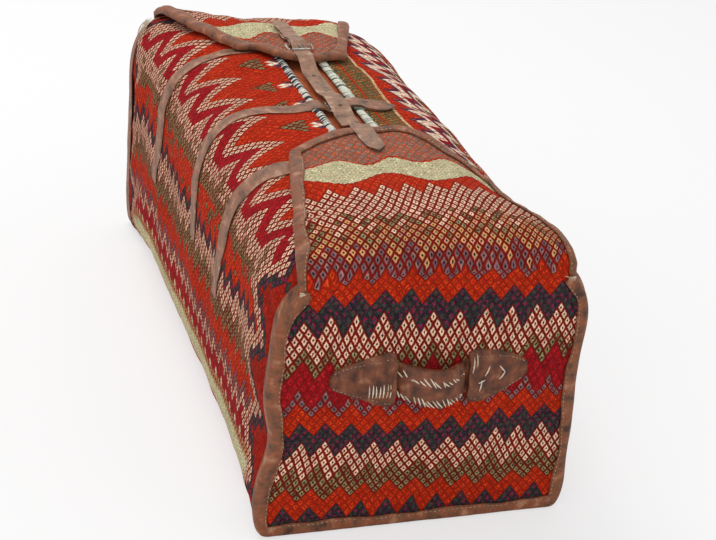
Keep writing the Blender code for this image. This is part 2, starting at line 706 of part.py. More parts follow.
def make_lid_strap():
    """The long strap: sewn to the near flap, buckled on the far flap."""

    def place(along, sideways, lift):
        along, sideways, lift = np.broadcast_arrays(along, sideways, lift)
        return on_cloth(LID_CENTRE + sideways, along, lift)

    base = float(lid_seat(np.array(LID_HEEL)))
    bar = base + ON_CLOTH + LOOP_RADIUS
    half = STRAP_WIDTH / 2
    last = LID_HEEL - BUCKLE_LENGTH - WIRE
    turns = [LID_START + TIP_LENGTH]
    for low, high, _ in lid_seats():
        turns += [low - LID_RAMP, low, high, high + LID_RAMP]
    turns = [turn for turn in turns if LID_START < turn < last]
    run = np.unique(np.concatenate([np.linspace(LID_START, last, 21), turns]))
    path = list(zip(run, lid_seat(run) + ON_CLOTH))
    path += threaded(LID_HEEL, bar)
    slot = (len(path) - 4, len(path) - 1)
    low = base + ON_CLOTH + LEATHER + GAP
    path += [(LID_HEEL + TAB_BEND, bar + OVER_LOOP), (LID_HEEL + LID_TAB_RAMP + LEATHER, low)]
    path += [(along, low) for along in (LID_TAB - TIP_LENGTH, LID_TAB, LID_TAIL - TIP_LENGTH, LID_TAIL)]
    add_band("lid_strap", place, path, pointed(path, half), LEATHER, "strap_leather", slot)
    level = base + ON_CLOTH
    tab = [(LID_TAB, level), (LID_TAB - TIP_LENGTH, level), (LID_HEEL + LID_TAB_RAMP, level),
           (LID_HEEL + TAB_BEND, bar + LOOP_RADIUS)]
    start = len(tab)
    tab += arc_points((LID_HEEL, bar), LOOP_RADIUS, 90, 270, 9)
    tab += [(LID_HEEL + TAB_BEND / 2, bar - LOOP_RADIUS), (LID_HEEL + TAB_END, bar - LOOP_RADIUS)]
    add_band("lid_strap_tab", place, tab, pointed(tab, half, (True, False)), LEATHER,
             "strap_leather", (start - 1, len(tab) - 2))
    make_buckle("main_buckle_frame", place, LID_HEEL, bar)
    make_prong("main_buckle_prong", place, LID_HEEL, bar)


def handle_place(end):
    """Turn (along, upwards, lift) into a point on an end panel's face."""

    def place(along, upwards, lift):
        along, upwards, lift = np.broadcast_arrays(along, upwards, lift)
        height = HANDLE_HEIGHT + upwards - HANDLE_SLOPE * along
        return on_panel(end, HANDLE_X + along, height, GAP + CLOTH + lift)

    return place


def make_handle(end):
    """A folded leather grip whose flat ends lie under two stitched pads."""
    place = handle_place(end)
    inner = PAD_INNER
    over_tongue = GAP + TONGUE_THICKNESS + GAP + LEATHER / 2
    for hand, side in ((-1, "left"), (1, "right")):
        path = [(hand * (inner + PAD_LENGTH * s), h) for s, h in
                ((0, over_tongue), (0.2, over_tongue), (0.36, over_tongue), (0.46, ON_CLOTH),
                 (0.64, ON_CLOTH), (0.8, ON_CLOTH), (0.92, ON_CLOTH), (1, ON_CLOTH))]
        shape = (0.9, 0.92, 0.92, 0.88, 0.72, 0.5, 0.28, 0.12) if side == "left" else \
            (0.92, 0.96, 0.98, 0.96, 0.88, 0.72, 0.55, 0.36)
        widths = PAD_WIDTH / 2 * np.array(shape)
        if hand > 0:
            path, widths = path[::-1], widths[::-1]
        add_band("%s_handle_%s_pad" % (end, side), place, path, widths, LEATHER, "leather")
    arch = inner - ARCH_START
    along = np.concatenate([np.linspace(-inner - TONGUE, -arch, 3), np.linspace(-arch, arch, 15)[1:-1],
                            np.linspace(arch, inner + TONGUE, 3)])
    share = np.clip((along + arch) / (2 * arch), 0, 1)
    swell = np.sin(np.pi * share)
    thick = TONGUE_THICKNESS / 2 + (GRIP_THICKNESS - TONGUE_THICKNESS) / 2 * np.minimum(1, 2 * swell)
    middle = GAP + TONGUE_THICKNESS / 2 + GRIP_REACH * swell
    turn = np.linspace(0, 2 * math.pi, 10, endpoint=False)
    upwards = GRIP_WIDTH / 2 * np.sign(np.cos(turn)) * np.abs(np.cos(turn)) ** 0.6
    outwards = np.sign(np.sin(turn)) * np.abs(np.sin(turn)) ** 0.6
    step = np.gradient(np.stack([along, middle], axis=1), axis=0)
    step /= np.linalg.norm(step, axis=1, keepdims=True)
    ring_along = along[:, None] - step[:, 1:] * thick[:, None] * outwards
    ring_lift = middle[:, None] + step[:, :1] * thick[:, None] * outwards
    add_loft(end + "_handle_grip", place(ring_along, upwards, ring_lift), "leather")


def centre_bag():
    """Stand every piece on one empty that puts the bag's middle at the origin."""
    centre = bpy.data.objects.new("bag", None)
    bpy.context.collection.objects.link(centre)
    binding = BINDING_GAP + BINDING_THICKNESS
    centre.location = ((WIDE_LEFT + binding - WIDE_RIGHT) / 2, -LENGTH / 2, 0.0)
    for thing in bpy.data.objects:
        if thing is not centre:
            thing.parent = centre


def main():
    for thing in list(bpy.data.objects):
        bpy.data.objects.remove(thing, do_unlink=True)
    make_wrap()
    make_lip("left_lip_edging", MOUTH_LEFT, -1)
    make_lip("right_lip_edging", MOUTH_RIGHT, 1)
    make_placket()
    for end, corner in (("near", NEAR_CORNER), ("far", FAR_CORNER)):
        make_end_panel(end, corner)
        make_panel_binding(end)
        make_flap_binding(end, corner)
        make_handle(end)
    for which in CROSS_STRAPS:
        make_cross_strap(which)
    make_lid_strap()
    centre_bag()


main()
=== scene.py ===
import math
from functools import lru_cache

import bpy
import numpy as np
from mathutils import Matrix, Vector


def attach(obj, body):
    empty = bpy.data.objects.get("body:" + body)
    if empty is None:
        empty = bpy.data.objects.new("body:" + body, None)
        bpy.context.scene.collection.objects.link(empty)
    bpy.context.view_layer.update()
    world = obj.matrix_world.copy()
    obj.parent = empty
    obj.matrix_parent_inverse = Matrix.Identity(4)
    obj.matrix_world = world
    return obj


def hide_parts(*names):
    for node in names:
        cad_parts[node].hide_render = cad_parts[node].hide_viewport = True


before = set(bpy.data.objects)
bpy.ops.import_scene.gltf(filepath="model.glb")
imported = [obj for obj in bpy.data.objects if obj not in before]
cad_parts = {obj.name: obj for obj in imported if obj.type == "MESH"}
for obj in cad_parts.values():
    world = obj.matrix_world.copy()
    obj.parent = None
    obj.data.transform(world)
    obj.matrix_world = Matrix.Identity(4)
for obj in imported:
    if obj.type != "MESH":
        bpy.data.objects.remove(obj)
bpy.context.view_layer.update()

# The view: from the near left, a little above, turned slightly on its own axis.
# The bag fills the frame as in the photo.


def add_object(name, data):
    """A new object in the scene."""
    thing = bpy.data.objects.new(name, data)
    bpy.context.collection.objects.link(thing)
    return thing


EYE = Vector((-0.633, -1.862, 1.102))
AZIMUTH, ELEVATION, ROLL = (math.radians(a) for a in (-20.2, 26.6, 5.9))
LENS = 87.4
back = Vector((math.sin(AZIMUTH) * math.cos(ELEVATION), -math.cos(AZIMUTH) * math.cos(ELEVATION),
               math.sin(ELEVATION)))
level = Vector((math.cos(AZIMUTH), math.sin(AZIMUTH), 0.0))
rise = back.cross(level)
right = level * math.cos(ROLL) + rise * math.sin(ROLL)
up = rise * math.cos(ROLL) - level * math.sin(ROLL)
camera = add_object("camera", bpy.data.cameras.new("camera"))
camera.data.lens = LENS
camera.matrix_world = Matrix([(right[i], up[i], back[i], EYE[i]) for i in range(3)] + [(0, 0, 0, 1)])
bpy.context.scene.camera = camera

# The room: a white floor that keeps a soft shadow, a white surround and two
# large soft lamps, the stronger one above and behind the bag.
FLOOR_HALF = 6.0
FLOOR_PAINT, FLOOR_GLOW = (0.94, 0.94, 0.94, 1.0), 0.6
WHITE, SURROUND_LIGHT = (1.0, 1.0, 1.0, 1.0), 0.62
LAMPS = (("high_lamp", (-0.5, 1.2, 2.6), 1.6, 32.0), ("front_lamp", (-1.5, -2.6, 1.7), 1.6, 20.0))


def plain_tree(owner):
    """Clear a material's or world's nodes and return its tree."""
    owner.use_nodes = True
    owner.node_tree.nodes.clear()
    return owner.node_tree


def add_node(tree, kind, inputs=None, **settings):
    """One shader node, with its properties set and its inputs linked to a
    socket, or to a Value's socket, or given a number, by name or place."""
    node = tree.nodes.new("ShaderNode" + kind)
    for key, value in settings.items():
        setattr(node, key, value)
    for key, value in (inputs or {}).items():
        value = getattr(value, "socket", value)
        if isinstance(value, bpy.types.NodeSocket):
            tree.links.new(value, node.inputs[key])
        else:
            node.inputs[key].default_value = value
    return node


world = bpy.data.worlds.new("surround")
bpy.context.scene.world = world
tree = plain_tree(world)
rays = add_node(tree, "LightPath").outputs
seen = add_node(tree, "Math", {0: rays["Is Camera Ray"], 1: rays["Is Glossy Ray"]}, operation="MAXIMUM")
seen = add_node(tree, "Math", {0: seen.outputs[0], 1: rays["Is Transmission Ray"]}, operation="MAXIMUM")
strength = add_node(tree, "MapRange", {0: seen.outputs[0], 3: SURROUND_LIGHT, 4: 1.0})
background = add_node(tree, "Background", {"Color": WHITE, "Strength": strength.outputs[0]})
add_node(tree, "OutputWorld", {"Surface": background.outputs[0]})

floor_mesh = bpy.data.meshes.new("floor")
floor_mesh.from_pydata([(-FLOOR_HALF, -FLOOR_HALF, 0), (FLOOR_HALF, -FLOOR_HALF, 0),
                        (FLOOR_HALF, FLOOR_HALF, 0), (-FLOOR_HALF, FLOOR_HALF, 0)], [], [(0, 1, 2, 3)])
floor = add_object("floor", floor_mesh)
paint = bpy.data.materials.new("white_floor")
tree = plain_tree(paint)
matt = add_node(tree, "BsdfDiffuse", {"Color": FLOOR_PAINT})
glow = add_node(tree, "Emission", {"Color": WHITE})
seen = add_node(tree, "Math", {0: add_node(tree, "LightPath").outputs["Is Camera Ray"], 1: FLOOR_GLOW},
                operation="MULTIPLY")
mixed = add_node(tree, "MixShader", {0: seen.outputs[0], 1: matt.outputs[0], 2: glow.outputs[0]})
add_node(tree, "OutputMaterial", {"Surface": mixed.outputs[0]})
floor_mesh.materials.append(paint)

for name, place, size, power in LAMPS:
    lamp = bpy.data.lights.new(name, "AREA")
    lamp.size, lamp.energy = size, power
    stand = add_object(name, lamp)
    stand.location = place
    stand.rotation_euler = (Vector(place) - Vector((0, 0, 0.15))).to_track_quat("Z", "Y").to_euler()
bpy.context.scene.view_settings.view_transform = "Standard"

# The woven wrap: one flat-woven wool cloth that goes round the bottom and both
# sides and ends at the two lips of the mouth. It is stuffed full, so its
# section is a soft box, and it puckers along its end seams.
LENGTH = 0.780
SHIFT = np.array([0.00605, -LENGTH / 2, 0.0])
CROWN, WIDEST = 0.344, 0.190
SIDES = {"left": (0.184, 3.9, 0.0, 0.010), "right": (0.174, 2.7, 0.006, 0.006)}
END_REACH, END_RISE, END_SQUARENESS = 0.160, 0.003, 4.3
BASE_CORNERS, BASE_SQUARENESS = (0.050, 0.022), (3.0, 6.0)
NEAR_FALL = (0.034, 0.060, 0.006)
FAR_FALL = (0.050, 0.190)
MOUTH_LEFT, MOUTH_RIGHT = -0.034, 0.010
CLOTH = 0.003
CELL_ALONG, CELL_ROUND = 0.0083, 0.014
FIRST_PEAK = 0.0213


def unit(value):
    """A value kept between 0 and 1."""
    return np.clip(value, 0, 1)


@lru_cache(maxsize=None)
def outline(y):
    """The section at y as x, z and length of cloth, from the crown down the
    left, along the base and up the right.  Each side is a superellipse above
    the widest height and a smaller one at the base corner."""
    share = max(1 - min(y, LENGTH - y) / END_REACH, 0) ** 2
    reach = NEAR_FALL[1] + NEAR_FALL[2]
    rounded = math.sqrt(1 - (1 - min((y + NEAR_FALL[2]) / reach, 1)) ** 2)
    seam = math.sqrt(1 - (1 - NEAR_FALL[2] / reach) ** 2)
    crown = CROWN - NEAR_FALL[0] * (1 - rounded) / (1 - seam)
    crown -= FAR_FALL[0] * max(1 - (LENGTH - y) / FAR_FALL[1], 0) ** 2
    turn = np.linspace(0, 1, 320)
    turn = math.pi / 2 * (3 * turn ** 2 - 2 * turn ** 3)
    sine, cosine = np.sin(turn), unit(np.cos(turn))
    halves = []
    for wide, power, near_pinch, far_pinch in SIDES.values():
        wide = wide - (near_pinch if y < LENGTH / 2 else far_pinch) * share
        power = power + (END_SQUARENESS - power) * share
        corner = BASE_CORNERS[0] + (BASE_CORNERS[1] - BASE_CORNERS[0]) * share
        low = BASE_SQUARENESS[0] + (BASE_SQUARENESS[1] - BASE_SQUARENESS[0]) * share
        x = np.concatenate([wide * sine ** (2 / power), (wide - corner + corner * cosine ** (2 / low))[1:], [0]])
        z = np.concatenate([WIDEST + (crown - WIDEST) * cosine ** (2 / power),
                            (WIDEST - (WIDEST - END_RISE * share) * sine ** (2 / low))[1:], [END_RISE * share]])
        halves.append((x, z))
    x = np.concatenate([-halves[0][0], halves[1][0][-2::-1]])
    z = np.concatenate([halves[0][1], halves[1][1][-2::-1]])
    return x, z, np.concatenate([[0], np.cumsum(np.hypot(np.diff(x), np.diff(z)))])


STATIONS = LENGTH * (0.5 - 0.5 * np.cos(np.linspace(0, math.pi, 500)))
SECTIONS = [outline(float(y)) for y in STATIONS]
SECTION_X, SECTION_Z, SECTION_ARC = (np.array([section[k] for section in SECTIONS]) for k in range(3))
ARC_SHARES = np.linspace(0, 1, 1600)
PLACES = np.array([np.interp(ARC_SHARES * arc[-1], arc, np.arange(len(arc))) for arc in SECTION_ARC])


def spread(*values):
    """Numbers and arrays as float arrays of one shape."""
    return np.broadcast_arrays(*(np.asarray(value, float) for value in values))


def from_table(table, row, column):
    """A table's value between its rows and columns."""
    i = np.clip(row.astype(int), 0, table.shape[0] - 2)
    j = np.clip(column.astype(int), 0, table.shape[1] - 2)
    r, c = row - i, column - j
    return ((1 - r) * ((1 - c) * table[i, j] + c * table[i, j + 1])
            + r * ((1 - c) * table[i + 1, j] + c * table[i + 1, j + 1]))


def on_cloth(across, y, lift):
    """World points at a length of cloth from the crown line (left is minus), a
    distance along and a height above the cloth, along its outward normal."""
    across, y, lift = spread(across, y, lift)
    full = np.interp(y, STATIONS, SECTION_ARC[:, -1])
    row = np.interp(y, STATIONS, np.arange(len(STATIONS)))
    place = from_table(PLACES, row, np.mod(-across, full) / full * (len(ARC_SHARES) - 1))
    last = SECTION_X.shape[1] - 1

    def point(column, station):
        row = np.interp(station, STATIONS, np.arange(len(STATIONS)))
        return np.stack([from_table(SECTION_X, row, column), station, from_table(SECTION_Z, row, column)], axis=-1)

    back_step, front_step = np.clip(place - 2, 0, last), np.clip(place + 2, 0, last)
    sideways = point(back_step, y) - point(front_step, y)
    along = point(place, np.clip(y + 0.0012, 0, LENGTH)) - point(place, np.clip(y - 0.0012, 0, LENGTH))
    normal = np.cross(sideways, along)
    normal /= np.linalg.norm(normal, axis=-1, keepdims=True)
    return point(place, y) + normal * lift[..., None] + SHIFT


def swell(first, second, wavelengths, seed, count=24):
    """Gentle uneven relief from about -1 to 1: a sum of plane waves of random
    direction and phase over two lengths in metres."""
    rng = np.random.default_rng(seed)
    total = np.zeros(np.broadcast(first, second).shape)
    for _ in range(count):
        turn, phase = rng.uniform(0, 2 * math.pi, 2)
        wave = 2 * math.pi / rng.uniform(*wavelengths)
        total += np.sin(wave * (first * math.cos(turn) + second * math.sin(turn)) + phase)
    return total / math.sqrt(count)


STRAP_LINES = {"near": 0.205, "middle": 0.368, "far": 0.566}


def bell(value, middle, width):
    """A bell curve: 1 at its middle and 1/e at one width from it."""
    return np.exp(-((value - middle) / width) ** 2)


def wrap_relief(across, y):
    """How far the stuffed wrap stands off its plain section: slow swells, with
    small puckers that fade away from each end seam, and a shallow dent below
    each short strap on the left."""
    slow = 0.0024 * swell(across, y, (0.09, 0.26), 11) + 0.0008 * swell(across, y, (0.035, 0.08), 13)
    seam = np.minimum(y, LENGTH - y)
    gathers = swell(across, 0.2 * y, (0.012, 0.03), 12)
    pucker = 0.0019 * np.exp(-seam / 0.026) * unit(seam / 0.006) * gathers
    dent = sum(bell(y, line, 0.016) for line in STRAP_LINES.values())
    on_left = unit(-(across + 0.03) / 0.04) * unit((0.31 + across) / 0.05)
    fade = unit(seam / 0.05) * unit((np.abs(across + 0.012) - 0.022) / 0.03)
    fade = fade * (1 - 0.75 * bell(across, -0.44, 0.05))
    return slow * fade + pucker - 0.0022 * dent * on_left


def on_wrap(across, y, lift):
    """A point above the uneven wrap."""
    return on_cloth(across, y, wrap_relief(across, y) + lift)


def drawn_in(points):
    """The near left seam is pulled in where the stuffing is slack, the far left
    shoulder is stuffed out and the near right one sinks: bell curves of place
    that fade away."""
    x, y, z = points[..., 0], points[..., 1], points[..., 2]
    left = 0.0125 * bell(z, 0.118, 0.036) + 0.0050 * bell(z, 0.235, 0.045) - 0.0025 * bell(z, 0.04, 0.03)
    right = 0.0040 * bell(z, 0.02, 0.035) - 0.0058 * bell(z, 0.18, 0.055)
    pull = left * unit((-x - 0.02) / 0.13) ** 1.5 + right * unit((x - 0.02) / 0.13) ** 1.5
    foot = bell(y, -0.28, 0.09) * bell(z, 0.03, 0.035) * unit((-x - 0.1) / 0.05)
    pull = bell(y, -0.41, 0.055) * pull - 0.0045 * foot
    plump = bell(y, 0.37, 0.085) * bell(x, -0.138, 0.055) * unit((z - 0.2) / 0.08)
    sunk = bell(y, -0.232, 0.070) * bell(x, 0.150, 0.06) * unit((z - 0.22) / 0.06)
    return np.stack([x + pull - 0.007 * plump - 0.005 * sunk, y, z + 0.025 * plump - 0.011 * sunk], axis=-1)


def add_mesh(name, points, faces, maps, material):
    """A smooth mesh as an object, with its UV maps given face corner by face
    corner."""
    mesh = bpy.data.meshes.new(name)
    mesh.from_pydata(points.tolist(), [], faces)
    for map_name, pairs in maps.items():
        mesh.uv_layers.new(name=map_name).data.foreach_set("uv", pairs.ravel().astype(np.float32))
    mesh.shade_smooth()
    mesh.materials.append(material)
    return add_object(name, mesh)


def add_surface(name, points, material, maps, wall=0.0, around=False, capped=True):
    """A mesh over a grid of points, with UV maps given as grids of pairs.  A
    strip may get a wall, and a grid closed around gets flat caps.  Faces are
    turned outwards: away from the bag's middle, or by volume when closed."""
    points = drawn_in(points)
    rows, columns = points.shape[:2]
    i, j = np.meshgrid(np.arange(rows - 1), np.arange(columns if around else columns - 1), indexing="ij")
    i, j = i.ravel(), j.ravel()
    corner_rows = np.stack([i, i, i + 1, i + 1], axis=1)
    corner_columns = np.stack([j, j + 1, j + 1, j], axis=1)
    index = corner_rows * columns + corner_columns % columns
    flat = points.reshape(-1, 3).copy()
    flat[:, 2] = np.maximum(flat[:, 2], 0.0004)
    quads = flat[index]
    square = np.cross(quads[:, 2] - quads[:, 0], quads[:, 3] - quads[:, 1])
    outside = quads.mean(1) if around else quads.mean(1) - np.array([0, 0, 0.15])
    if around:
        outside = outside - flat.mean(0)
    if np.sum(square * outside) < 0:
        index, corner_rows, corner_columns = index[:, ::-1], corner_rows[:, ::-1], corner_columns[:, ::-1]
    faces = index.tolist()
    ends = []
    if around and capped:
        flipped = bool(np.sum(square * outside) < 0)
        ring = np.arange(columns)
        first, last = (ring, ring[::-1]) if flipped else (ring[::-1], ring)
        ends = [(first, 0), (last, rows - 1)]
        faces += [(order + row * columns).tolist() for order, row in ends]
    corner_maps = {}
    for map_name, grid in maps.items():
        grid = np.broadcast_to(grid, (rows, columns + (1 if around else 0), 2))
        corner_maps[map_name] = np.concatenate([grid[corner_rows, corner_columns].reshape(-1, 2)]
                                               + [grid[row, order] for order, row in ends])
    thing = add_mesh(name, flat, faces, corner_maps, material)
    if ends:
        thing.data.set_sharp_from_angle(angle=math.radians(50))
    if wall:
        thick = thing.modifiers.new("wall", "SOLIDIFY")
        thick.thickness, thick.offset = wall, -1.0
    return thing


def dye(red, green, blue):
    """A colour as it is seen on screen, turned into a linear one."""
    return tuple(((c / 255 + 0.055) / 1.055) ** 2.4 for c in (red, green, blue)) + (1.0,)


class Value:
    """A number inside a shader: sums and comparisons on it add Math nodes."""

    def __init__(self, tree, socket):
        self.tree, self.socket = tree, socket

    def math(self, operation, second=0.0, third=0.0):
        """The result of a Math node that starts from this number."""
        node = add_node(self.tree, "Math", {0: self, 1: second, 2: third}, operation=operation)
        return Value(self.tree, node.outputs[0])

    def __add__(self, other):
        return self.math("ADD", other)

    def __sub__(self, other):
        return self.math("SUBTRACT", other)

    def __mul__(self, other):
        return self.math("MULTIPLY", other)

    def __gt__(self, other):
        return self.math("GREATER_THAN", other)

    def __lt__(self, other):
        return self.math("LESS_THAN", other)

    def step(self, low, high):
        """0 below low and 1 above high, smooth between; low may be the higher."""
        node = add_node(self.tree, "MapRange", {0: self, 1: low, 2: high}, interpolation_type="SMOOTHSTEP")
        return Value(self.tree, node.outputs[0])


def new_finish(name, roughness, gloss=None):
    """A material with one Principled shader: material, tree and shader."""
    material = bpy.data.materials.new(name)
    tree = plain_tree(material)
    shader = add_node(tree, "BsdfPrincipled", {"Roughness": roughness})
    if gloss is not None:
        shader.inputs["Specular IOR Level"].default_value = gloss
    add_node(tree, "OutputMaterial", {"Surface": shader.outputs[0]})
    return material, tree, shader


def blend(tree, share, first, second, kind="MIX"):
    """A colour mix."""
    return add_node(tree, "Mix", {0: share, 6: first, 7: second}, data_type="RGBA", blend_type=kind).outputs[2]


def shaded(colour, shade):
    """A colour made lighter or darker by a Value."""
    grey = add_node(shade.tree, "CombineXYZ", {0: shade, 1: shade, 2: shade}).outputs[0]
    return blend(shade.tree, 1.0, colour, grey, "MULTIPLY")


def steps(value, stops, smooth=False):
    """A colour by a Value from 0 to 1, held from each stop to the next."""
    node = add_node(value.tree, "ValToRGB", {0: value})
    ramp = node.color_ramp
    ramp.interpolation = "LINEAR" if smooth else "CONSTANT"
    while len(ramp.elements) < len(stops):
        ramp.elements.new(1.0)
    for element, (place, colour) in zip(ramp.elements, stops):
        element.position, element.color = place, colour
    return node.outputs[0]


def map_axes(tree, name):
    """The two lengths of a UV map as Values, and the map itself."""
    source = add_node(tree, "UVMap", uv_map=name).outputs[0]
    split = add_node(tree, "SeparateXYZ", {0: source}).outputs
    return Value(tree, split[0]), Value(tree, split[1]), source


def mottle(tree, place, scale, detail=2.0, stretch=None):
    """Noise from 0 to 1, finer with scale, stretched by a triple if given."""
    if stretch:
        place = add_node(tree, "Mapping", {"Vector": place, "Scale": stretch}).outputs[0]
    node = add_node(tree, "TexNoise", {"Vector": place, "Scale": scale, "Detail": detail})
    return Value(tree, node.outputs["Fac"])


def paint_with(shader, colour, height=None, distance=0.0):
    """Give a shader its colour, and bump from a height over a distance."""
    tree = shader.id_data
    tree.links.new(colour, shader.inputs["Base Color"])
    if height:
        bump = add_node(tree, "Bump", {"Height": height, "Distance": distance})
        tree.links.new(bump.outputs[0], shader.inputs["Normal"])


def diamonds(tree):
    """The woven diamond lattice, read from the map of cells.  Slanted axes
    a = along + up and b = up - along cut the cloth into diamonds.  Returns the
    row and column of each diamond, how far a point is from its middle (0.5 at
    its edge) and a random value for each diamond."""
    along, upwards, _ = map_axes(tree, "cells")
    a, b = upwards + along, upwards - along
    whole_a, whole_b = a.math("FLOOR"), b.math("FLOOR")
    off_a, off_b = ((axis.math("FRACT") - 0.5).math("ABSOLUTE") for axis in (a, b))
    joined = add_node(tree, "CombineXYZ", {0: whole_a, 1: whole_b, 2: 0.5}).outputs[0]
    chance = Value(tree, add_node(tree, "TexWhiteNoise", {0: joined}).outputs[0])
    return whole_a + whole_b, whole_a - whole_b, off_a.math("MAXIMUM", off_b), chance


ORANGE, CRIMSON, NAVY = dye(208, 48, 15), dye(176, 22, 30), dye(56, 42, 58)
CREAM, OLIVE, MAUVE, OCHRE = dye(244, 206, 174), dye(146, 124, 84), dye(146, 108, 112), dye(218, 160, 102)
LEAF, WOOL, RUST, DEEP = dye(224, 218, 178), dye(238, 228, 206), dye(134, 27, 17), dye(44, 24, 18)
MAGENTA, PINE, PINK, SAGE = dye(140, 26, 66), dye(52, 70, 54), dye(214, 150, 124), dye(150, 150, 104)
# Per band: dyes for the diamonds, the ground, the dark eyes (also used as painted shade in the gaps of the ground
# lines), two fleck dyes, and the fleck share.
BAND_DYES = {
    "orange": (ORANGE, dye(166, 32, 14), dye(120, 50, 22), dye(172, 30, 16), dye(226, 70, 28), 0.44),
    "ember": (dye(166, 30, 17), dye(148, 26, 16), dye(108, 40, 22), dye(138, 26, 18), dye(190, 44, 24), 0.44),
    "crimson": (CRIMSON, dye(140, 18, 26), dye(116, 32, 28), dye(124, 14, 28), dye(192, 32, 38), 0.46),
    "navy": (NAVY, dye(44, 32, 40), dye(60, 60, 52), PINE, MAGENTA, 0.62),
    "cream": (CREAM, RUST, DEEP, dye(226, 186, 156), PINK, 0.30),
    "olive": (OLIVE, dye(112, 34, 22), DEEP, SAGE, dye(104, 72, 48), 0.44),
    "mauve": (dye(132, 100, 106), RUST, DEEP, dye(104, 84, 92), dye(160, 120, 112), 0.44),
    "ochre": (OCHRE, RUST, DEEP, dye(184, 154, 108), PINK, 0.36),
    "leaf": (LEAF, dye(204, 194, 154), dye(136, 126, 88), dye(164, 164, 120), dye(212, 170, 142), 0.44),
    "wool": (WOOL, dye(206, 140, 116), WOOL, WOOL, PINK, 0.16),
    "mixed": (dye(176, 84, 54), dye(146, 86, 66), dye(112, 98, 90), dye(134, 126, 114), dye(228, 92, 40), 0.76),
    "purple": (dye(104, 64, 84), dye(90, 40, 60), DEEP, NAVY, MAUVE, 0.40),
    "stripe": (dye(156, 104, 54), dye(96, 72, 40), dye(84, 80, 50), dye(92, 98, 72), dye(206, 92, 30), 0.70),
    "beige": (dye(196, 160, 116), dye(176, 136, 96), CREAM, OCHRE, CREAM, 0.30),
    "green": (dye(104, 108, 62), dye(84, 78, 48), DEEP, dye(92, 98, 72), OCHRE, 0.55),
}
BANDS_IN_ALL = 48


def weave(shader, band, off, chance, bands):
    """Colour and bump of the woven cloth: each band of the zigzag has a dye
    for its diamonds, for the ground between them, for their dark eyes, and two
    more for the flecks of odd yarn, with how much of them there is.  The dark-eye
    dye also serves as painted shade in the gaps along the sunken ground lines,
    and the knot speckle is partly painted shade between the threads."""
    tree = band.tree
    _, _, cloth = map_axes(tree, "cloth")
    value = (band + 0.5).math("DIVIDE", BANDS_IN_ALL)
    dyes = [steps(value, [(start / BANDS_IN_ALL, BAND_DYES[key][part]) for start, key in bands])
            for part in range(5)]
    flecked = steps(value, [(start / BANDS_IN_ALL, (BAND_DYES[key][5],) * 3 + (1.0,)) for start, key in bands])
    knots = add_node(tree, "TexVoronoi", {"Vector": cloth, "Scale": 430.0})
    parts = add_node(tree, "SeparateColor", {0: knots.outputs["Color"]}).outputs
    # The knot speckle is both bump and colour: partly random yarn tone, partly painted shade between the threads.
    pick, kind, knot_relief_and_shade = (Value(tree, parts[k]) for k in range(3))
    worn = off + (mottle(tree, cloth, 520.0) * 0.30 - 0.15)
    lines = worn.step(0.29, 0.37)
    # Painted shade: the middle of each sunken ground line darkens toward the dark-eye dye, standing for the shade
    # in the gaps between diamonds.
    painted_gap_shade = worn.step(0.40, 0.50) * knot_relief_and_shade.step(0.15, 0.35)
    eyes = worn.step(0.16, 0.10)
    ground = blend(tree, painted_gap_shade * 0.80, dyes[1], dyes[2])
    colour = blend(tree, pick < flecked, dyes[0], blend(tree, kind > 0.5, dyes[3], dyes[4]))
    colour = blend(tree, lines, blend(tree, eyes, colour, dyes[2]), ground)
    yarn = mottle(tree, cloth, 1.0, 2.0, (900.0, 420.0, 1.0))
    fade = mottle(tree, cloth, 9.0, 3.0)
    # Brightness: yarn, fade and chance are the wool's own uneven tone; the knot term is partly random tone and
    # partly painted shade between the threads.
    shade = yarn * 0.50 + knot_relief_and_shade * 0.30 + fade * 0.34 + chance * 0.22 + 0.36
    paint_with(shader, shaded(colour, shade), yarn * 0.4 + knot_relief_and_shade * 0.3 - lines * 0.5 + 0.4, 0.0014)


def chosen(test, yes, no):
    """yes where test is 1 and no where it is 0, for numbers and Values."""
    change = add_node(test.tree, "Math", {0: yes, 1: no}, operation="SUBTRACT").outputs[0]
    return test.math("MULTIPLY_ADD", change, no)


WRAP_BANDS = [(0, "orange"), (12, "cream"), (14, "crimson"), (16, "cream"), (19, "olive"), (21, "orange"),
              (24, "navy"), (25, "cream"), (27, "olive"), (29, "orange"), (31, "mauve"), (32, "cream"),
              (33, "crimson"), (35, "leaf"), (37, "orange"), (38, "ochre"), (39, "purple"), (40, "olive"),
              (41, "wool"), (42, "cream"), (43, "navy"), (44, "ember"), (45, "stripe"), (46, "beige"),
              (47, "green")]
wrap_finish, tree, shader = new_finish("kilim_wrap", 0.95, 0.08)
row, column, off, chance = diamonds(tree)
big, small = column.math("PINGPONG", 8.0), column.math("PINGPONG", 3.0)
down = row * -1.0
flames = ((down + big) * 0.5).math("MAXIMUM", down - 12.0)
teeth = (down + small) * 0.5 + 4.0
band = chosen(down > 33.5, teeth, flames)
band = chosen((chance > 0.74) * (band > 16.9) * (band < 18.9), 19.0, band)
band = chosen((chance < 0.30) * (band > 20.9) * (band < 22.9), 19.0, band)
for start, key in ((59.5, 38.0), (61.5, 35.0), (66.5, 37.0)):
    band = chosen(down > start, key, band)
for start, stop, slope, offset, key in ((10.8, 15.2, -1.0, 15.2, 40.0), (6.0, 8.4, 0.0, 2.2, 39.0),
                                        (7.5, 10.0, 1.0, -7.8, 41.0)):
    band = chosen((big < down * slope + offset) * (down > start) * (down < stop), key, band)
along, across, _ = map_axes(tree, "cloth")
tooth = (across * 0.6 + along).math("PINGPONG", 0.0165) * -1.15 + 0.090
beyond = across - tooth
striped = 0.0
for limit, key in ((0.072, 0.0), (0.058, 19.0), (0.048, 41.0), (0.038, 39.0), (0.030, 14.0), (0.022, 41.0),
                   (0.008, 39.0), (0.0, 0.0)):
    striped = chosen(beyond < limit, key, striped)
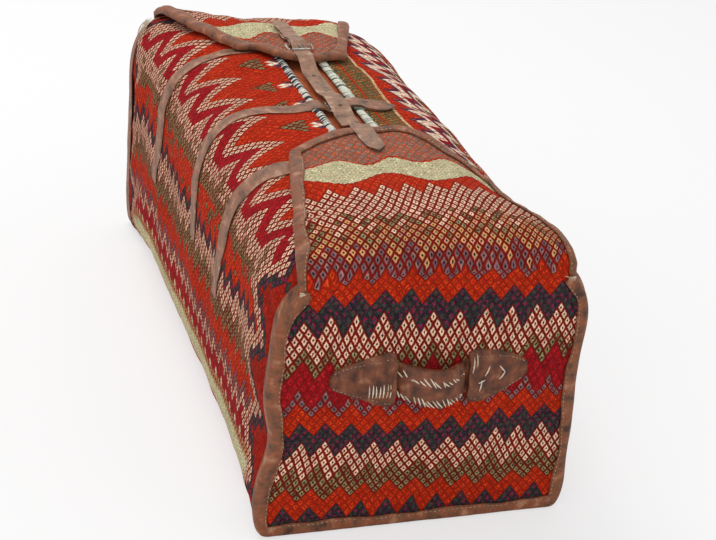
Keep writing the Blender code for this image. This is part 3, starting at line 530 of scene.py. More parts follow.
for limit, key in ((0.064, 46.0), (0.060, 45.0), (0.048, 47.0), (0.045, 45.0), (0.036, 0.0), (0.033, 45.0),
                   (0.026, 47.0), (0.023, 45.0)):
    striped = chosen(across < limit, key, striped)
band = chosen((across > 0.0) * (across < 0.140), striped, band)
end_columns = column.math("PINGPONG", (LENGTH + 2 * FIRST_PEAK) / CELL_ALONG)
contour = end_columns - (down - 2.0).math("PINGPONG", 6.0) * 1.75
for limit, key in ((16.5, 42.0), (11.0, 43.0), (7.5, 44.0)):
    band = chosen(contour < limit, key, band)
weave(shader, band, off, chance, WRAP_BANDS)

wrap_y = LENGTH * (0.5 - 0.5 * np.cos(np.linspace(0, math.pi, 61))) * 0.12
wrap_y = np.unique(np.round(np.concatenate([wrap_y, np.linspace(0.094, LENGTH - 0.094, 120), LENGTH - wrap_y]), 5))
ends = np.array([outline(float(y))[2][-1] for y in wrap_y])
share = np.linspace(0, 1, 250)
wrap_across = MOUTH_LEFT + (MOUTH_RIGHT - ends - MOUTH_LEFT)[:, None] * share
wrap_y = np.repeat(wrap_y[:, None], len(share), axis=1)
seen_across = np.where(share[None, :] < 0.5, wrap_across, wrap_across + ends[:, None])
wrap_points = on_cloth(wrap_across, wrap_y, wrap_relief(seen_across, wrap_y))
wander = 0.10 * swell(seen_across, wrap_y, (0.05, 0.2), 21), 0.12 * swell(seen_across, wrap_y, (0.05, 0.2), 22)
cells = np.stack([(wrap_y + FIRST_PEAK) / CELL_ALONG + wander[0],
                  -np.abs(seen_across) / CELL_ROUND + wander[1]], axis=-1)
wrap = add_surface("woven_wrap", wrap_points, wrap_finish,
                   {"cells": cells, "cloth": np.stack([wrap_y, seen_across], axis=-1)}, wall=CLOTH)
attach(wrap, "bag")
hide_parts("body_wrap")

# The two end cloths: each is one more piece of the same kind of kilim, cut to
# the end's outline, and it runs on over the top edge as a flap that lies on
# the wrap and the straps.  Its sides are pinched at the two kinks.
KINKS = {"near": 0.292, "far": 0.284}
FLAP, FLAP_POWER, FLAP_ANGLE = 0.275, 1.9, math.radians(40)
CORNERS = {"near": (-0.105, 0.232), "far": (-0.045, 0.261)}
BULGE, GAP = 0.015, 0.0003
STEPPED = ((0.0, 0.0065), (2.0, 0.0365), (4.0, 0.060), (6.0, 0.090), (8.0, 0.121), (10.0, 0.145), (12.0, 0.168),
           (13.0, 0.187), (15.0, 0.218), (16.0, 0.233), (18.0, 0.268), (20.0, 0.292), (21.0, 0.304), (23.0, 0.320),
           (26.0, 0.343), (28.0, 0.362), (32.0, 0.425), (34.0, 0.448), (43.0, 0.560))
FLAP_CELL = 0.00957


def seam_side(end, hand):
    """The seam on the panel's own left (-1) or right (1), from the crown down,
    as half-widths and heights, with the length of cloth."""
    x, z, _ = outline(0.0 if end == "near" else LENGTH)
    half = len(x) // 2
    on_left = (hand < 0) == (end == "near")
    x, z = (-x[:half + 1], z[:half + 1]) if on_left else (x[half:][::-1], z[half:][::-1])
    return x, z, np.concatenate([[0], np.cumsum(np.hypot(np.diff(x), np.diff(z)))])


def kink_reach(end, hand):
    """Length of cloth from the crown to the kink."""
    x, z, arc = seam_side(end, hand)
    return float(np.interp(-KINKS[end], -z, arc))


def seam_width(end, hand, height):
    """Half-width of the seam at a height."""
    x, z, _ = seam_side(end, hand)
    return np.interp(height, z[::-1], x[::-1])


def end_relief(across, height):
    """Uneven stuffing behind an end cloth, flat at its edges."""
    edge = unit((0.165 - np.abs(across)) / 0.04) * unit(height / 0.03)
    return 0.0024 * edge * swell(across, height, (0.06, 0.2), 31)


def on_panel(end, across, height, lift):
    """A point out from an end face: a cushion (1 - across squared, times a
    squared sine of the height) over the seam's plane."""
    across, height, lift = spread(across, height, lift)
    sideways = unit(1 - (across / SIDES["left"][0]) ** 2)
    upright = np.sin(np.pi * unit(height / (CROWN - NEAR_FALL[0]))) ** 2
    out = BULGE * sideways * upright + end_relief(across, height) * upright ** 0.5 + lift
    if end == "near":
        return np.stack([across, -out, height], axis=-1) + SHIFT
    return np.stack([-across, LENGTH + out, height], axis=-1) + SHIFT


def at_end(end, across, inwards, lift):
    """A point above the wrap, measured from one end of the bag."""
    if end == "near":
        return on_wrap(across, np.clip(inwards, 0, LENGTH), lift)
    return on_wrap(-np.asarray(across), np.clip(LENGTH - inwards, 0, LENGTH), lift)


def smoothed(points, times):
    """Rows of points, where all but the first and last row have moved a number
    of times to half of themselves plus a quarter of each neighbour."""
    points = points.copy()
    for _ in range(times):
        points[1:-1] = 0.5 * points[1:-1] + 0.25 * (points[:-2] + points[2:])
    return points


def flap_edges(end, columns, rows):
    """The flap's seam, left, free and right edges as (across, inwards)."""
    corner = CORNERS[end]
    left, right = -kink_reach(end, -1), kink_reach(end, 1)
    power = 2 / FLAP_POWER
    seam = np.stack([left + (right - left) * columns, 0 * columns], axis=1)
    side_left = np.array([left, 0.0]) * (1 - rows[:, None]) + np.array(corner) * rows[:, None]
    turn = FLAP_ANGLE * rows
    side_right = np.stack([right * np.cos(turn) ** power, FLAP * np.sin(turn) ** power], axis=1)
    middle = -left / (right - left)
    share = unit(columns / middle)
    turn = math.pi / 2 - (math.pi / 2 - FLAP_ANGLE) * unit((columns - middle) / (1 - middle))
    free_left = np.stack([corner[0] * (1 - share), corner[1] + (FLAP - corner[1]) * np.sin(share * math.pi / 2)],
                         axis=1)
    free_right = np.stack([right * unit(np.cos(turn)) ** power, FLAP * np.sin(turn) ** power], axis=1)
    return seam, side_left, np.where(columns[:, None] < middle, free_left, free_right), side_right


def flap_height(end, across, inwards):
    """How high the flap's underside stands over the wrap.  It wrinkles across
    its left side, and the far flap's corner curls up off the shoulder."""
    start = unit(inwards / 0.008)
    lift = GAP + 0.0061 * start
    if end == "far":
        sideways = unit((across - 0.05) / 0.08) ** 1.3
        lift = lift + 0.005 * sideways * np.sin(np.pi * unit(inwards / 0.15)) ** 0.8
    else:
        left = unit((-across - 0.085) / 0.05) * unit(1 - np.abs(inwards - 0.06) / 0.07)
        lift = lift + 0.0016 * left * np.sin(2 * np.pi * (inwards + 0.12 * across) / 0.019)
    return lift + start * 0.0012 * swell(across, inwards, (0.05, 0.15), 33)


END_BANDS = [(0, "navy"), (2, "orange"), (4, "olive"), (6, "cream"), (8, "navy"), (10, "orange"), (12, "mauve"),
             (13, "crimson"), (15, "olive"), (16, "cream"), (18, "navy"), (20, "orange"), (22, "mauve"),
             (24, "ochre"), (27, "olive"), (28, "cream"), (32, "orange"), (39, "crimson"), (40, "leaf"),
             (41, "orange"), (42, "mixed")]
end_finish, tree, shader = new_finish("kilim_end", 0.92, 0.08)
row, column, off, chance = diamonds(tree)
band = (row + column.math("PINGPONG", 3.0)) * 0.5
band = (chance > 0.62) * (band > 22.9) * (band < 29.9) * 2.0 + band
low, high, _ = map_axes(tree, "waves")
for test, key in ((low > -0.0016, 39.0), (low > 0.0, 40.0), (high > 0.0, 41.0), (high > 0.004, 42.0)):
    band = chosen(test, key, band)
weave(shader, band, off, chance, END_BANDS)

END_COLUMNS, END_ROWS = 170, 110
face_rows = np.linspace(0, 1, END_ROWS)
flap_rows = face_rows ** 1.25
end_share = np.linspace(0, 1, END_COLUMNS)
for end in ("near", "far"):
    left, right = -kink_reach(end, -1), kink_reach(end, 1)
    seam, side_left, free, side_right = flap_edges(end, end_share, flap_rows)
    u, v = end_share[None, :, None], flap_rows[:, None, None]
    plan = (1 - v) * seam[None] + v * free[None] + (1 - u) * side_left[:, None] + u * side_right[:, None]
    plan -= (1 - u) * (1 - v) * seam[0] + u * (1 - v) * seam[-1] + (1 - u) * v * free[0] + u * v * free[-1]
    top = at_end(end, seam[:, 0], 0 * seam[:, 0], 0 * seam[:, 0]) - SHIFT
    seam_x = top[:, 0] if end == "near" else -top[:, 0]
    kink = KINKS[end]
    share = (seam_x + seam_width(end, -1, kink)) / (seam_width(end, -1, kink) + seam_width(end, 1, kink))
    height = END_RISE + (kink - END_RISE) * face_rows
    across = -seam_width(end, -1, height)[:, None] + (seam_width(end, -1, height)
                                                      + seam_width(end, 1, height))[:, None] * share
    heights = END_RISE + face_rows[:, None] * (top[:, 2] - END_RISE)
    face = on_panel(end, across, heights, GAP + CLOTH)
    flap_across, inwards = plan[1:, :, 0], plan[1:, :, 1]
    flap = at_end(end, flap_across, inwards, flap_height(end, flap_across, inwards) + CLOTH)
    points = np.concatenate([face, flap])
    fold = slice(END_ROWS - 8, END_ROWS + 6)
    points[fold] = smoothed(points[fold], 14)
    over_edge = 0.30 + inwards + (top[None, :, 2] - 0.30) * np.exp(-inwards / 0.06)
    cloth = np.concatenate([np.stack([across, heights], axis=-1), np.stack([flap_across, over_edge], axis=-1)])
    aside, height = cloth[..., 0], cloth[..., 1]
    v_places, v_lengths = np.array(STEPPED).T
    warped = np.interp(height, v_lengths, v_places) + 0.16 * swell(aside, height, (0.06, 0.2), 35)
    across_cells = (aside + 0.010) / FLAP_CELL + 0.10 * swell(aside, height, (0.05, 0.2), 36)
    small = 0.004 * np.abs((aside / 0.0095) % 1 - 0.5)
    waves = [height - (middle + tall * np.cos(2 * np.pi * (aside + start) / pitch)) + small
             for middle, tall, start, pitch in ((0.441, 0.012, 0.02, 0.105), (0.485, 0.009, 0.0, 0.065))]
    piece = add_surface(end + "_end_cloth", points, end_finish,
                        {"cells": np.stack([across_cells, warped], axis=-1), "cloth": cloth,
                         "waves": np.stack(waves, axis=-1)},
                        wall=CLOTH)
    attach(piece, "bag")
    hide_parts(end + "_end_panel")

# The leather bindings: soft brown goatskin strips folded over the raw edges of
# the ends and flaps, sewn through with pale thread.  They are uneven in width
# and creased, with painted shade in the creases, and worn pale and reddish in places.
BINDING, SKIN, FOLD_GAP, SPACING = 0.0122, 0.0014, 0.0012, 0.0026
RETURNS = {"near": 0.007, "far": 0.027}
HIDE, HIDE_DARK, HIDE_RED, HIDE_PALE = dye(122, 76, 50), dye(70, 42, 30), dye(138, 76, 46), dye(168, 122, 92)


def leather(name, tones, roughness=0.55):
    """Worn leather: slow blotches of four tones, fine grain and cracks, the cracks sunk in the bump and darkened
    as painted shade.
    """
    finish, tree, shader = new_finish(name, roughness, 0.35)
    _, _, skin = map_axes(tree, "skin")
    colour = steps(mottle(tree, skin, 60.0, 6.0), list(zip((0.32, 0.45, 0.56, 0.70), tones)), True)
    grain = mottle(tree, skin, 420.0, 3.0)
    crease_relief_and_shade = mottle(tree, skin, 1.0, 4.0, (220.0, 90.0, 1.0))
    # Painted shade: the colour darkens where the crease bump sinks.
    paint_with(shader, shaded(colour, grain * 0.40 + crease_relief_and_shade * 0.90 + 0.36), grain * 0.35 + crease_relief_and_shade, 0.0016)
    return finish


def thread(name, tones):
    """Spun thread: the tone of each stitch is picked by its number in the
    stitch map, with twisted ply lines along it."""
    finish, tree, shader = new_finish(name, 0.8)
    number, ply, _ = map_axes(tree, "stitch")
    picked = add_node(tree, "TexWhiteNoise", {"W": number.math("FLOOR")}, noise_dimensions="1D").outputs[0]
    paint_with(shader, shaded(steps(Value(tree, picked), tones), ply.math("PINGPONG", 0.5) * 0.5 + 0.72))
    return finish


def inset_normals(line):
    """Unit vectors square to a line of pairs, to the left of its run."""
    step = np.gradient(line, axis=0)
    step /= np.linalg.norm(step, axis=1, keepdims=True)
    return np.stack([-step[:, 1], step[:, 0]], axis=1)


def run_along(line):
    """The length of a line of points from its start to each of them."""
    return np.concatenate([[0], np.cumsum(np.linalg.norm(np.diff(line, axis=0), axis=1))])


def resample(line, spacing):
    """The same line of points at an even spacing."""
    line = np.asarray(line, float)
    run = run_along(line)
    even = np.linspace(0, run[-1], max(int(run[-1] / spacing), 2))
    return np.stack([np.interp(even, run, line[:, k]) for k in range(line.shape[1])], axis=1)


def strip_maps(rings):
    """The skin map of a strip of closed rings: metres along and around."""
    along = run_along(rings.mean(1))
    closed = np.concatenate([rings, rings[:, :1]], axis=1)
    around = np.concatenate([np.zeros((len(rings), 1)),
                             np.cumsum(np.linalg.norm(np.diff(closed, axis=1), axis=2), axis=1)], axis=1)
    return {"skin": np.stack([np.broadcast_to(along[:, None], around.shape), around], axis=-1)}


def circle(count):
    """Even angles once round."""
    return np.linspace(0, 2 * math.pi, count, endpoint=False)


def add_stitches(name, starts, stops, normals, radius, material, bow=0.35):
    """Stitches as one mesh: each is a round thread whose radius follows the
    root of a sine, sunk at both ends and bowed up between them."""
    count, rings, sides = len(starts), 7, 6
    along = stops - starts
    size = np.linalg.norm(along, axis=1, keepdims=True)
    axis = along / size
    beside = np.cross(normals, axis)
    beside /= np.linalg.norm(beside, axis=1, keepdims=True)
    upright = np.cross(axis, beside)
    t = np.linspace(0, 1, rings)
    wide = radius * np.sqrt(np.clip(np.sin(np.pi * t), 0.12, 1))
    rise = size * bow * 0.25 * (np.sin(np.pi * t) - 0.5)
    centre = starts[:, None] + along[:, None] * t[None, :, None] + upright[:, None] * rise[:, :, None]
    turn = circle(sides)
    round_it = np.cos(turn)[:, None] * beside[:, None, None] + np.sin(turn)[:, None] * upright[:, None, None]
    points = drawn_in(centre[:, :, None] + round_it * wide[None, :, None, None])
    i, j = np.meshgrid(np.arange(rings - 1), np.arange(sides), indexing="ij")
    i, j = i.ravel(), j.ravel()
    quad = np.stack([i * sides + j, i * sides + (j + 1) % sides, (i + 1) * sides + (j + 1) % sides,
                     (i + 1) * sides + j], axis=1)
    faces = (quad[None] + (np.arange(count) * rings * sides)[:, None, None]).reshape(-1, 4)
    caps = np.stack([np.arange(sides)[::-1], np.arange(sides) + (rings - 1) * sides])
    caps = (caps[None] + (np.arange(count) * rings * sides)[:, None, None]).reshape(-1, sides)
    number = np.repeat(np.arange(count), len(quad) * 4) + 0.5
    ply = np.stack([i, i, i + 1, i + 1], axis=1) * 0.5 + np.stack([j, j + 1, j + 1, j], axis=1) / sides
    ply = np.tile(ply.ravel(), count)
    cap_number = np.repeat(np.arange(count), 2 * sides) + 0.5
    pairs = np.concatenate([np.stack([number, ply], axis=1), np.stack([cap_number, 0 * cap_number], axis=1)])
    return add_mesh(name, points.reshape(-1, 3), faces.tolist() + caps.tolist(), {"stitch": pairs}, material)


def outward(place, *spot):
    """Unit normals of a surface, from its points at two heights."""
    step = place(*spot, 0.01) - place(*spot, 0.0)
    return step / np.linalg.norm(step, axis=-1, keepdims=True)


def sewn_line(name, line, normals, pitch, length, radius, material):
    """Running stitches along a line of points."""
    run = run_along(line)
    begin = np.arange(pitch, run[-1] - pitch, pitch)

    def at(where, values):
        return np.stack([np.interp(where, run, values[:, k]) for k in range(3)], axis=1)

    facing = at(begin + length / 2, normals)
    facing /= np.linalg.norm(facing, axis=1, keepdims=True)
    return add_stitches(name, at(begin, line), at(begin + length, line), facing, radius, material)


binding_finish = leather("binding_hide", (HIDE_DARK, HIDE, HIDE_RED, HIDE_PALE))
sewing = thread("sewing_thread", [(0.0, dye(196, 170, 140)), (0.5, dye(176, 146, 116)), (0.85, dye(120, 92, 72))])
for end in ("near", "far"):
    seam_y = 0.0 if end == "near" else LENGTH
    inner_y = 1 if end == "near" else -1
    x, z, arc = outline(seam_y)
    half = len(x) // 2
    start = np.interp(-KINKS[end] - 0.004, -z[:half], arc[:half])
    stop = np.interp(KINKS[end] + 0.004, z[half:], arc[half:])
    reach = np.arange(start, stop, SPACING)
    line = np.stack([np.interp(reach, arc, x), np.interp(reach, arc, z)], axis=1)
    inward = inset_normals(line)
    width = BINDING * (1 + 0.13 * swell(reach, 0 * reach, (0.03, 0.14), 41))
    pinch = unit(np.minimum(reach - reach[0], reach[-1] - reach) / 0.02)
    width = width * (0.55 + 0.45 * pinch ** 0.5)
    puff = 0.0019 + 0.0012 * np.clip(swell(reach, 0 * reach, (0.012, 0.06), 42), -0.8, 1)

    def face_leg(share, out):
        spot = line + inward * (width * share)[:, None]
        across = spot[:, 0] if end == "near" else -spot[:, 0]
        return on_panel(end, across, np.maximum(spot[:, 1], 0.0012), GAP + CLOTH + out)

    def side_leg(share, lift):
        y = np.full(len(reach), seam_y + inner_y * RETURNS[end] * share)
        return on_cloth(-reach, y, lift)

    low, high = FOLD_GAP, FOLD_GAP + SKIN
    rings = [face_leg(1.0, low), face_leg(0.99, high), face_leg(0.8, high + 0.6 * puff),
             face_leg(0.5, high + puff), face_leg(0.2, high + puff), face_leg(-0.08, high + 0.2 * puff),
             face_leg(-0.20, high - 0.0016), side_leg(0.05, high + 0.0006), side_leg(0.35, high),
             side_leg(0.7, high), side_leg(1.0, high - 0.0004), side_leg(1.02, low), side_leg(0.5, low),
             face_leg(0.0, low), face_leg(0.5, low)]
    rings = np.stack(rings, axis=1)
    binding = add_surface(end + "_seam_binding", rings, binding_finish, strip_maps(rings), around=True)
    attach(binding, "bag")
    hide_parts(end + "_panel_binding")
    sewn = face_leg(0.86, high + 0.55 * puff)
    stitches = sewn_line(end + "_seam_stitches", sewn, outward(face_leg, 0.86), 0.0052, 0.0030, 0.00045, sewing)
    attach(stitches, "bag")

    free_share = np.linspace(0, 1, 200)
    _, side_left, free, side_right = flap_edges(end, free_share, free_share)
    line = resample(np.concatenate([side_right, free[-2::-1], side_left[-2::-1]]), SPACING)
    line = smoothed(line, 6)
    inward = inset_normals(line)
    run = np.arange(len(line)) * SPACING
    width = BINDING * (1 + 0.12 * swell(run, 0 * run, (0.03, 0.14), 43))
    ends_in = unit(np.minimum(run, run[-1] - run) / 0.03)
    width = width * (0.6 + 0.4 * ends_in)
    puff = 0.0016 + 0.0010 * np.clip(swell(run, 0 * run, (0.010, 0.05), 44), -0.8, 1)

    def flap_leg(share, out):
        spot = line + inward * (width * share)[:, None]
        inwards = np.maximum(spot[:, 1], 0.0)
        return at_end(end, spot[:, 0], inwards, flap_height(end, spot[:, 0], inwards) + out)

    over = CLOTH + FOLD_GAP
    rings = [flap_leg(1.0, over), flap_leg(0.99, over + SKIN), flap_leg(0.8, over + SKIN + 0.6 * puff),
             flap_leg(0.5, over + SKIN + puff), flap_leg(0.2, over + SKIN + 0.8 * puff),
             flap_leg(-0.06, over + SKIN), flap_leg(-0.16, over - 0.0008), flap_leg(-0.19, CLOTH / 2),
             flap_leg(-0.15, -0.0012), flap_leg(-0.05, -0.0016), flap_leg(0.5, -0.0018), flap_leg(0.8, -0.0016),
             flap_leg(0.8, -0.0004), flap_leg(-0.02, -0.0003), flap_leg(-0.06, CLOTH / 2), flap_leg(0.0, over)]
    rings = np.stack(rings, axis=1)
    binding = add_surface(end + "_edge_binding", rings, binding_finish, strip_maps(rings), around=True)
    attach(binding, "bag")
    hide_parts(end + "_flap_binding")
    sewn = flap_leg(0.86, over + SKIN + 0.5 * puff)
    stitches = sewn_line(end + "_edge_stitches", sewn, outward(flap_leg, 0.86), 0.0048, 0.0030, 0.00050, sewing)
    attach(stitches, "bag")

# The mouth: both lips of the wrap are whipped over with thick cotton, the left
# one black and white, the right one white, and a strip of brown-orange cloth
# lies below the slit.
MOUTH_START, MOUTH_STOP, LIP = 0.060, LENGTH - 0.060, 0.008
placket_finish, tree, shader = new_finish("placket_cloth", 0.9)
yarn = mottle(tree, map_axes(tree, "cloth")[2], 1.0, 2.0, (900.0, 300.0, 1.0))
paint_with(shader, steps(yarn, [(0.25, dye(152, 66, 28)), (0.75, dye(204, 104, 50))], True), yarn, 0.0006)
placket_y = np.linspace(MOUTH_START, MOUTH_STOP, 160)[:, None]
placket_across = np.linspace(MOUTH_LEFT - 0.014, MOUTH_RIGHT + 0.014, 24)[None, :]
sag = 0.002 * np.sin(np.pi * unit((placket_across - MOUTH_LEFT) / (MOUTH_RIGHT - MOUTH_LEFT)))
sag = sag * (1 + 0.5 * swell(placket_y, placket_across, (0.03, 0.09), 51))
placket_y, placket_across = np.broadcast_arrays(placket_y, placket_across)
points = on_wrap(placket_across, placket_y, -0.0062 - sag)
placket = add_surface("mouth_strip", points, placket_finish,
                      {"cloth": np.stack([placket_y, placket_across], axis=-1)}, wall=0.002)
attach(placket, "bag")
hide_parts("mouth_placket")

whips = {"left": thread("black_white_cotton", [(0.0, dye(232, 230, 216)), (0.52, dye(32, 38, 46))]),
         "right": thread("white_cotton", [(0.0, dye(234, 234, 216)), (0.68, dye(96, 112, 96))])}
for side, edge, hand in (("left", MOUTH_LEFT, -1), ("right", MOUTH_RIGHT, 1)):
    begin = np.arange(MOUTH_START + 0.002, MOUTH_STOP - 0.006, 0.0019)
    rng = np.random.default_rng(52)
    slant = 0.0050 + 0.0005 * rng.standard_normal(len(begin))
    out = LIP * (1.24 + 0.08 * rng.standard_normal(len(begin)))
    starts = on_wrap(edge + hand * out, begin, 0.0012)
    stops = on_wrap(np.full(len(begin), edge - hand * 0.0016), begin + slant, 0.0002)
    whip = add_stitches(side + "_lip_whipping", starts, stops, outward(on_wrap, edge, begin), 0.0012, whips[side],
                        bow=0.7)
    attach(whip, "bag")
    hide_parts(side + "_lip_edging")

# The straps: single strips of the same hide, cut by hand.  Three short ones
# run up the left side and are buckled at the mouth, and the long one, with
# its punched holes, is sewn to the near flap and buckled on the far one.
STRAP, STRAP_SKIN = 0.0245, 0.0018
STRAP_ROUTES = {
    "near": (0.184, ((-0.40, 0.215), (-0.26, 0.212), (-0.19, 0.219), (-0.13, 0.213), (-0.08, 0.205),
                     (0.1, 0.205))),
    "middle": (0.190, ((-0.40, 0.346), (-0.24, 0.348), (-0.18, 0.362), (-0.12, 0.371), (-0.07, 0.368),
                       (0.1, 0.368))),
    "far": (0.174, ((-0.40, 0.546), (-0.24, 0.548), (-0.17, 0.558), (-0.12, 0.566), (-0.07, 0.566),
                    (0.1, 0.566)))}
LID_CENTRE, LID_START, LID_HEEL, LID_TAIL, LID_TAB = -0.012, 0.205, LENGTH - 0.239, LENGTH - 0.140, LENGTH - 0.174
RAMP, TIP = 0.026, 0.014
BUCKLE_LONG, WIRE, LOOP, OVER_LOOP = 0.018, 0.0028, 0.0025, 0.0044
strap_finish = leather("strap_hide", (dye(86, 58, 44), dye(130, 94, 72), dye(150, 98, 74), dye(176, 144, 118)))


def blunted(wave, power):
    """A wave with flatter tops: its sign times its size to a power."""
    return np.sign(wave) * np.abs(wave) ** power


def add_strap(name, place, path, half_width, thickness, finish, spacing=0.0035, wear=61):
    """A strap along (along, height) pairs: its section is a flat bar with
    rounded edges that is a little thicker in the middle."""
    path = np.asarray(path, float)
    run = run_along(path)
    even = np.linspace(0, run[-1], int(run[-1] / spacing))
    even = np.unique(np.concatenate([even, run]))
    line = np.stack([np.interp(even, run, path[:, k]) for k in range(2)], axis=1)
    line = smoothed(line, 2)
    wide = np.interp(even, run, np.broadcast_to(half_width, len(path)))
    wide = wide * (1 + 0.035 * swell(even, 0 * even, (0.03, 0.12), wear))
    normal = inset_normals(line)
    turn = circle(20)
    sideways, upwards = blunted(np.cos(turn), 0.35), blunted(np.sin(turn), 0.6)
    curl = 0.0003 * swell(even, 0 * even, (0.02, 0.09), wear + 1)[:, None] * (np.abs(sideways)[None] ** 3)
    spot = line[:, None] + normal[:, None] * (upwards[None] * thickness / 2 + curl)[..., None]
    rings = place(spot[..., 0], wide[:, None] * sideways[None], spot[..., 1])
    strap = add_surface(name, rings, finish, strip_maps(rings), around=True)
    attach(strap, "bag")
    return strap


def narrowed(path, half_width, ends=(True, True)):
    """Half-widths that come to a blunt point at the chosen ends."""
    path = np.asarray(path, float)
    run = run_along(path)
    first = run if ends[0] else run + TIP
    last = run[-1] - run if ends[1] else run[-1] - run + TIP
    share = unit(np.minimum(first, last) / TIP)
    return half_width * (0.18 + 0.82 * np.sqrt(share))


def arc_points(centre, radius, start, stop, count):
    """Points (along, height) on an arc, by angle in degrees."""
    turn = np.radians(np.linspace(start, stop, count))
    return list(zip(centre[0] + radius * np.cos(turn), centre[1] + radius * np.sin(turn)))


def threaded(heel, height):
    """The middle line of a strap through its buckle, under the front bar and
    over the heel bar."""
    front = heel - BUCKLE_LONG
    return [(front - WIRE / 2, height - LOOP), (front + WIRE / 2, height - LOOP),
            (heel - 0.62 * BUCKLE_LONG, height), (heel - WIRE, height + OVER_LOOP), (heel, height + OVER_LOOP),
            (heel + 0.0043, height + OVER_LOOP)]


def add_tab(name, place, path, bend, half_width, finish):
    """A strap's folded end: whole up to the bend, then two narrow tongues round
    the buckle's bar, with the prong's slot between them."""
    widths = narrowed(path, half_width, (True, False))
    tab = add_strap(name, place, path[:bend], widths[:bend], 0.0015, finish, 0.002, wear=64)
    slot = 0.0024
    for side, label in ((-1, "left"), (1, "right")):
        offset, half = side * (slot + half_width) / 2, (half_width - slot) / 2

        def beside(along, sideways, lift):
            return place(along, sideways + offset, lift)

        add_strap("%s_%s_tongue" % (name, label), beside, path[bend - 1:], half, 0.0015, finish, 0.002, wear=64)
    return tab


for which, (drop, route) in STRAP_ROUTES.items():
    fixed_y = route[-1][1]
    x, z, arc = outline(fixed_y)
    shoulder = -float(np.interp(-drop, -z[:len(x) // 2], arc[:len(x) // 2]))
    route_across, route_y = np.array(route).T

    def place(along, sideways, lift):
        """Across the bag, the strap's line wanders a little in y."""
        along, sideways, lift = spread(along, sideways, lift)
        softened = (np.interp(along - 0.02, route_across, route_y) + np.interp(along + 0.02, route_across, route_y)
                    + np.interp(along, route_across, route_y)) / 3
        return on_wrap(along, softened + sideways, lift)

    climb = MOUTH_LEFT - LIP - 0.0048
    path = [(a, 0.0013) for a in np.linspace(shoulder, climb, 26)]
    path += [(MOUTH_LEFT - LIP - GAP, 0.0034), (MOUTH_LEFT + 0.0024, 0.0034)] + threaded(-0.004, 0.0)
    path += [(MOUTH_RIGHT - 0.0036, 0.0052), (MOUTH_RIGHT + LIP + GAP, 0.0052),
             (MOUTH_RIGHT + LIP + 0.0048, 0.0034)]
    tail = {"near": 0.042, "middle": 0.064, "far": 0.042}[which]
    path += [(tail - TIP, 0.0034), (tail, 0.0032)]
    strap = add_strap(which + "_short_strap", place, path, narrowed(path, STRAP / 2, (False, True)), STRAP_SKIN,
                      strap_finish, wear=62)
    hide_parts(which + "_cross_strap")
    sewn = tail - 0.004
    tab = [(sewn, 0.0012), (sewn - TIP, 0.0012), (MOUTH_RIGHT + LIP + 0.0048, 0.0012),
           (MOUTH_RIGHT + LIP + GAP, 0.0030), (MOUTH_RIGHT - 0.0024, 0.0030), (0.005, LOOP)]
    bend = len(tab)
    tab += arc_points((-0.004, 0.0), LOOP, 90, 270, 9) + [(0.0005, -LOOP), (0.0032, -LOOP)]
    tab_strap = add_tab(which + "_short_tab", place, tab, bend, STRAP / 2 - 0.001, strap_finish)
    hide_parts(which + "_cross_tab")

FLAP_SEAT, STRAP_SEAT = 0.0118, 0.0058
SEATS = ((0.0, FLAP + 0.0024, FLAP_SEAT),
         (STRAP_LINES["middle"] - 0.0141, STRAP_LINES["middle"] + 0.0141, STRAP_SEAT),
         (LENGTH - FLAP - 0.0024, LENGTH, FLAP_SEAT))


def lid_seat(along):
    """The height of what the long strap lies on, with ramps between."""
    height = np.zeros_like(along)
    for low, high, seat in SEATS:
        away = np.maximum(np.maximum(low - along, along - high), 0)
        height = np.maximum(height, seat * unit(1 - away / RAMP))
    return height


def lid_place(along, sideways, lift):
    """Along the crown of the bag."""
    along, sideways, lift = spread(along, sideways, lift)
    return on_cloth(LID_CENTRE + sideways, along, lift)


seat = float(lid_seat(np.array(LID_HEEL)))
bar = seat + 0.0011 + LOOP
last = LID_HEEL - BUCKLE_LONG - WIRE
run = np.concatenate([np.linspace(LID_START, last, 40), [0.219, 0.2774, 0.3034, 0.3279, 0.3539, 0.3821]])
run = np.unique(run)
path = list(zip(run, lid_seat(run) + 0.0014)) + threaded(LID_HEEL, bar)
low = seat + 0.0030
path += [(LID_HEEL + 0.009, bar + OVER_LOOP), (LID_HEEL + 0.0296, low)]
path += [(a, low) for a in (LID_TAB - TIP, LID_TAB, LID_TAIL - TIP, LID_TAIL)]
broad = np.interp(np.array(path)[:, 0], (0.205, 0.26, 0.36, 0.50, 0.62), (0.86, 1.03, 1.0, 0.87, 0.76))
long_finish = leather("long_strap_hide", (dye(94, 68, 52), dye(138, 106, 84), dye(152, 110, 86),
                                          dye(184, 156, 132)))
long_strap = add_strap("long_strap", lid_place, path, broad * narrowed(path, STRAP / 2), STRAP_SKIN, long_finish,
                       0.0028, wear=66)
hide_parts("lid_strap")
flat = seat + 0.0012
tab = [(LID_TAB, flat), (LID_TAB - TIP, flat), (LID_HEEL + 0.028, flat), (LID_HEEL + 0.009, bar + LOOP)]
bend = len(tab)
tab += arc_points((LID_HEEL, bar), LOOP, 90, 270, 9)
tab += [(LID_HEEL + 0.0045, bar - LOOP), (LID_HEEL + 0.0072, bar - LOOP)]
tab_strap = add_tab("long_strap_tab", lid_place, tab, bend, STRAP / 2 - 0.001, long_finish)
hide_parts("lid_strap_tab")

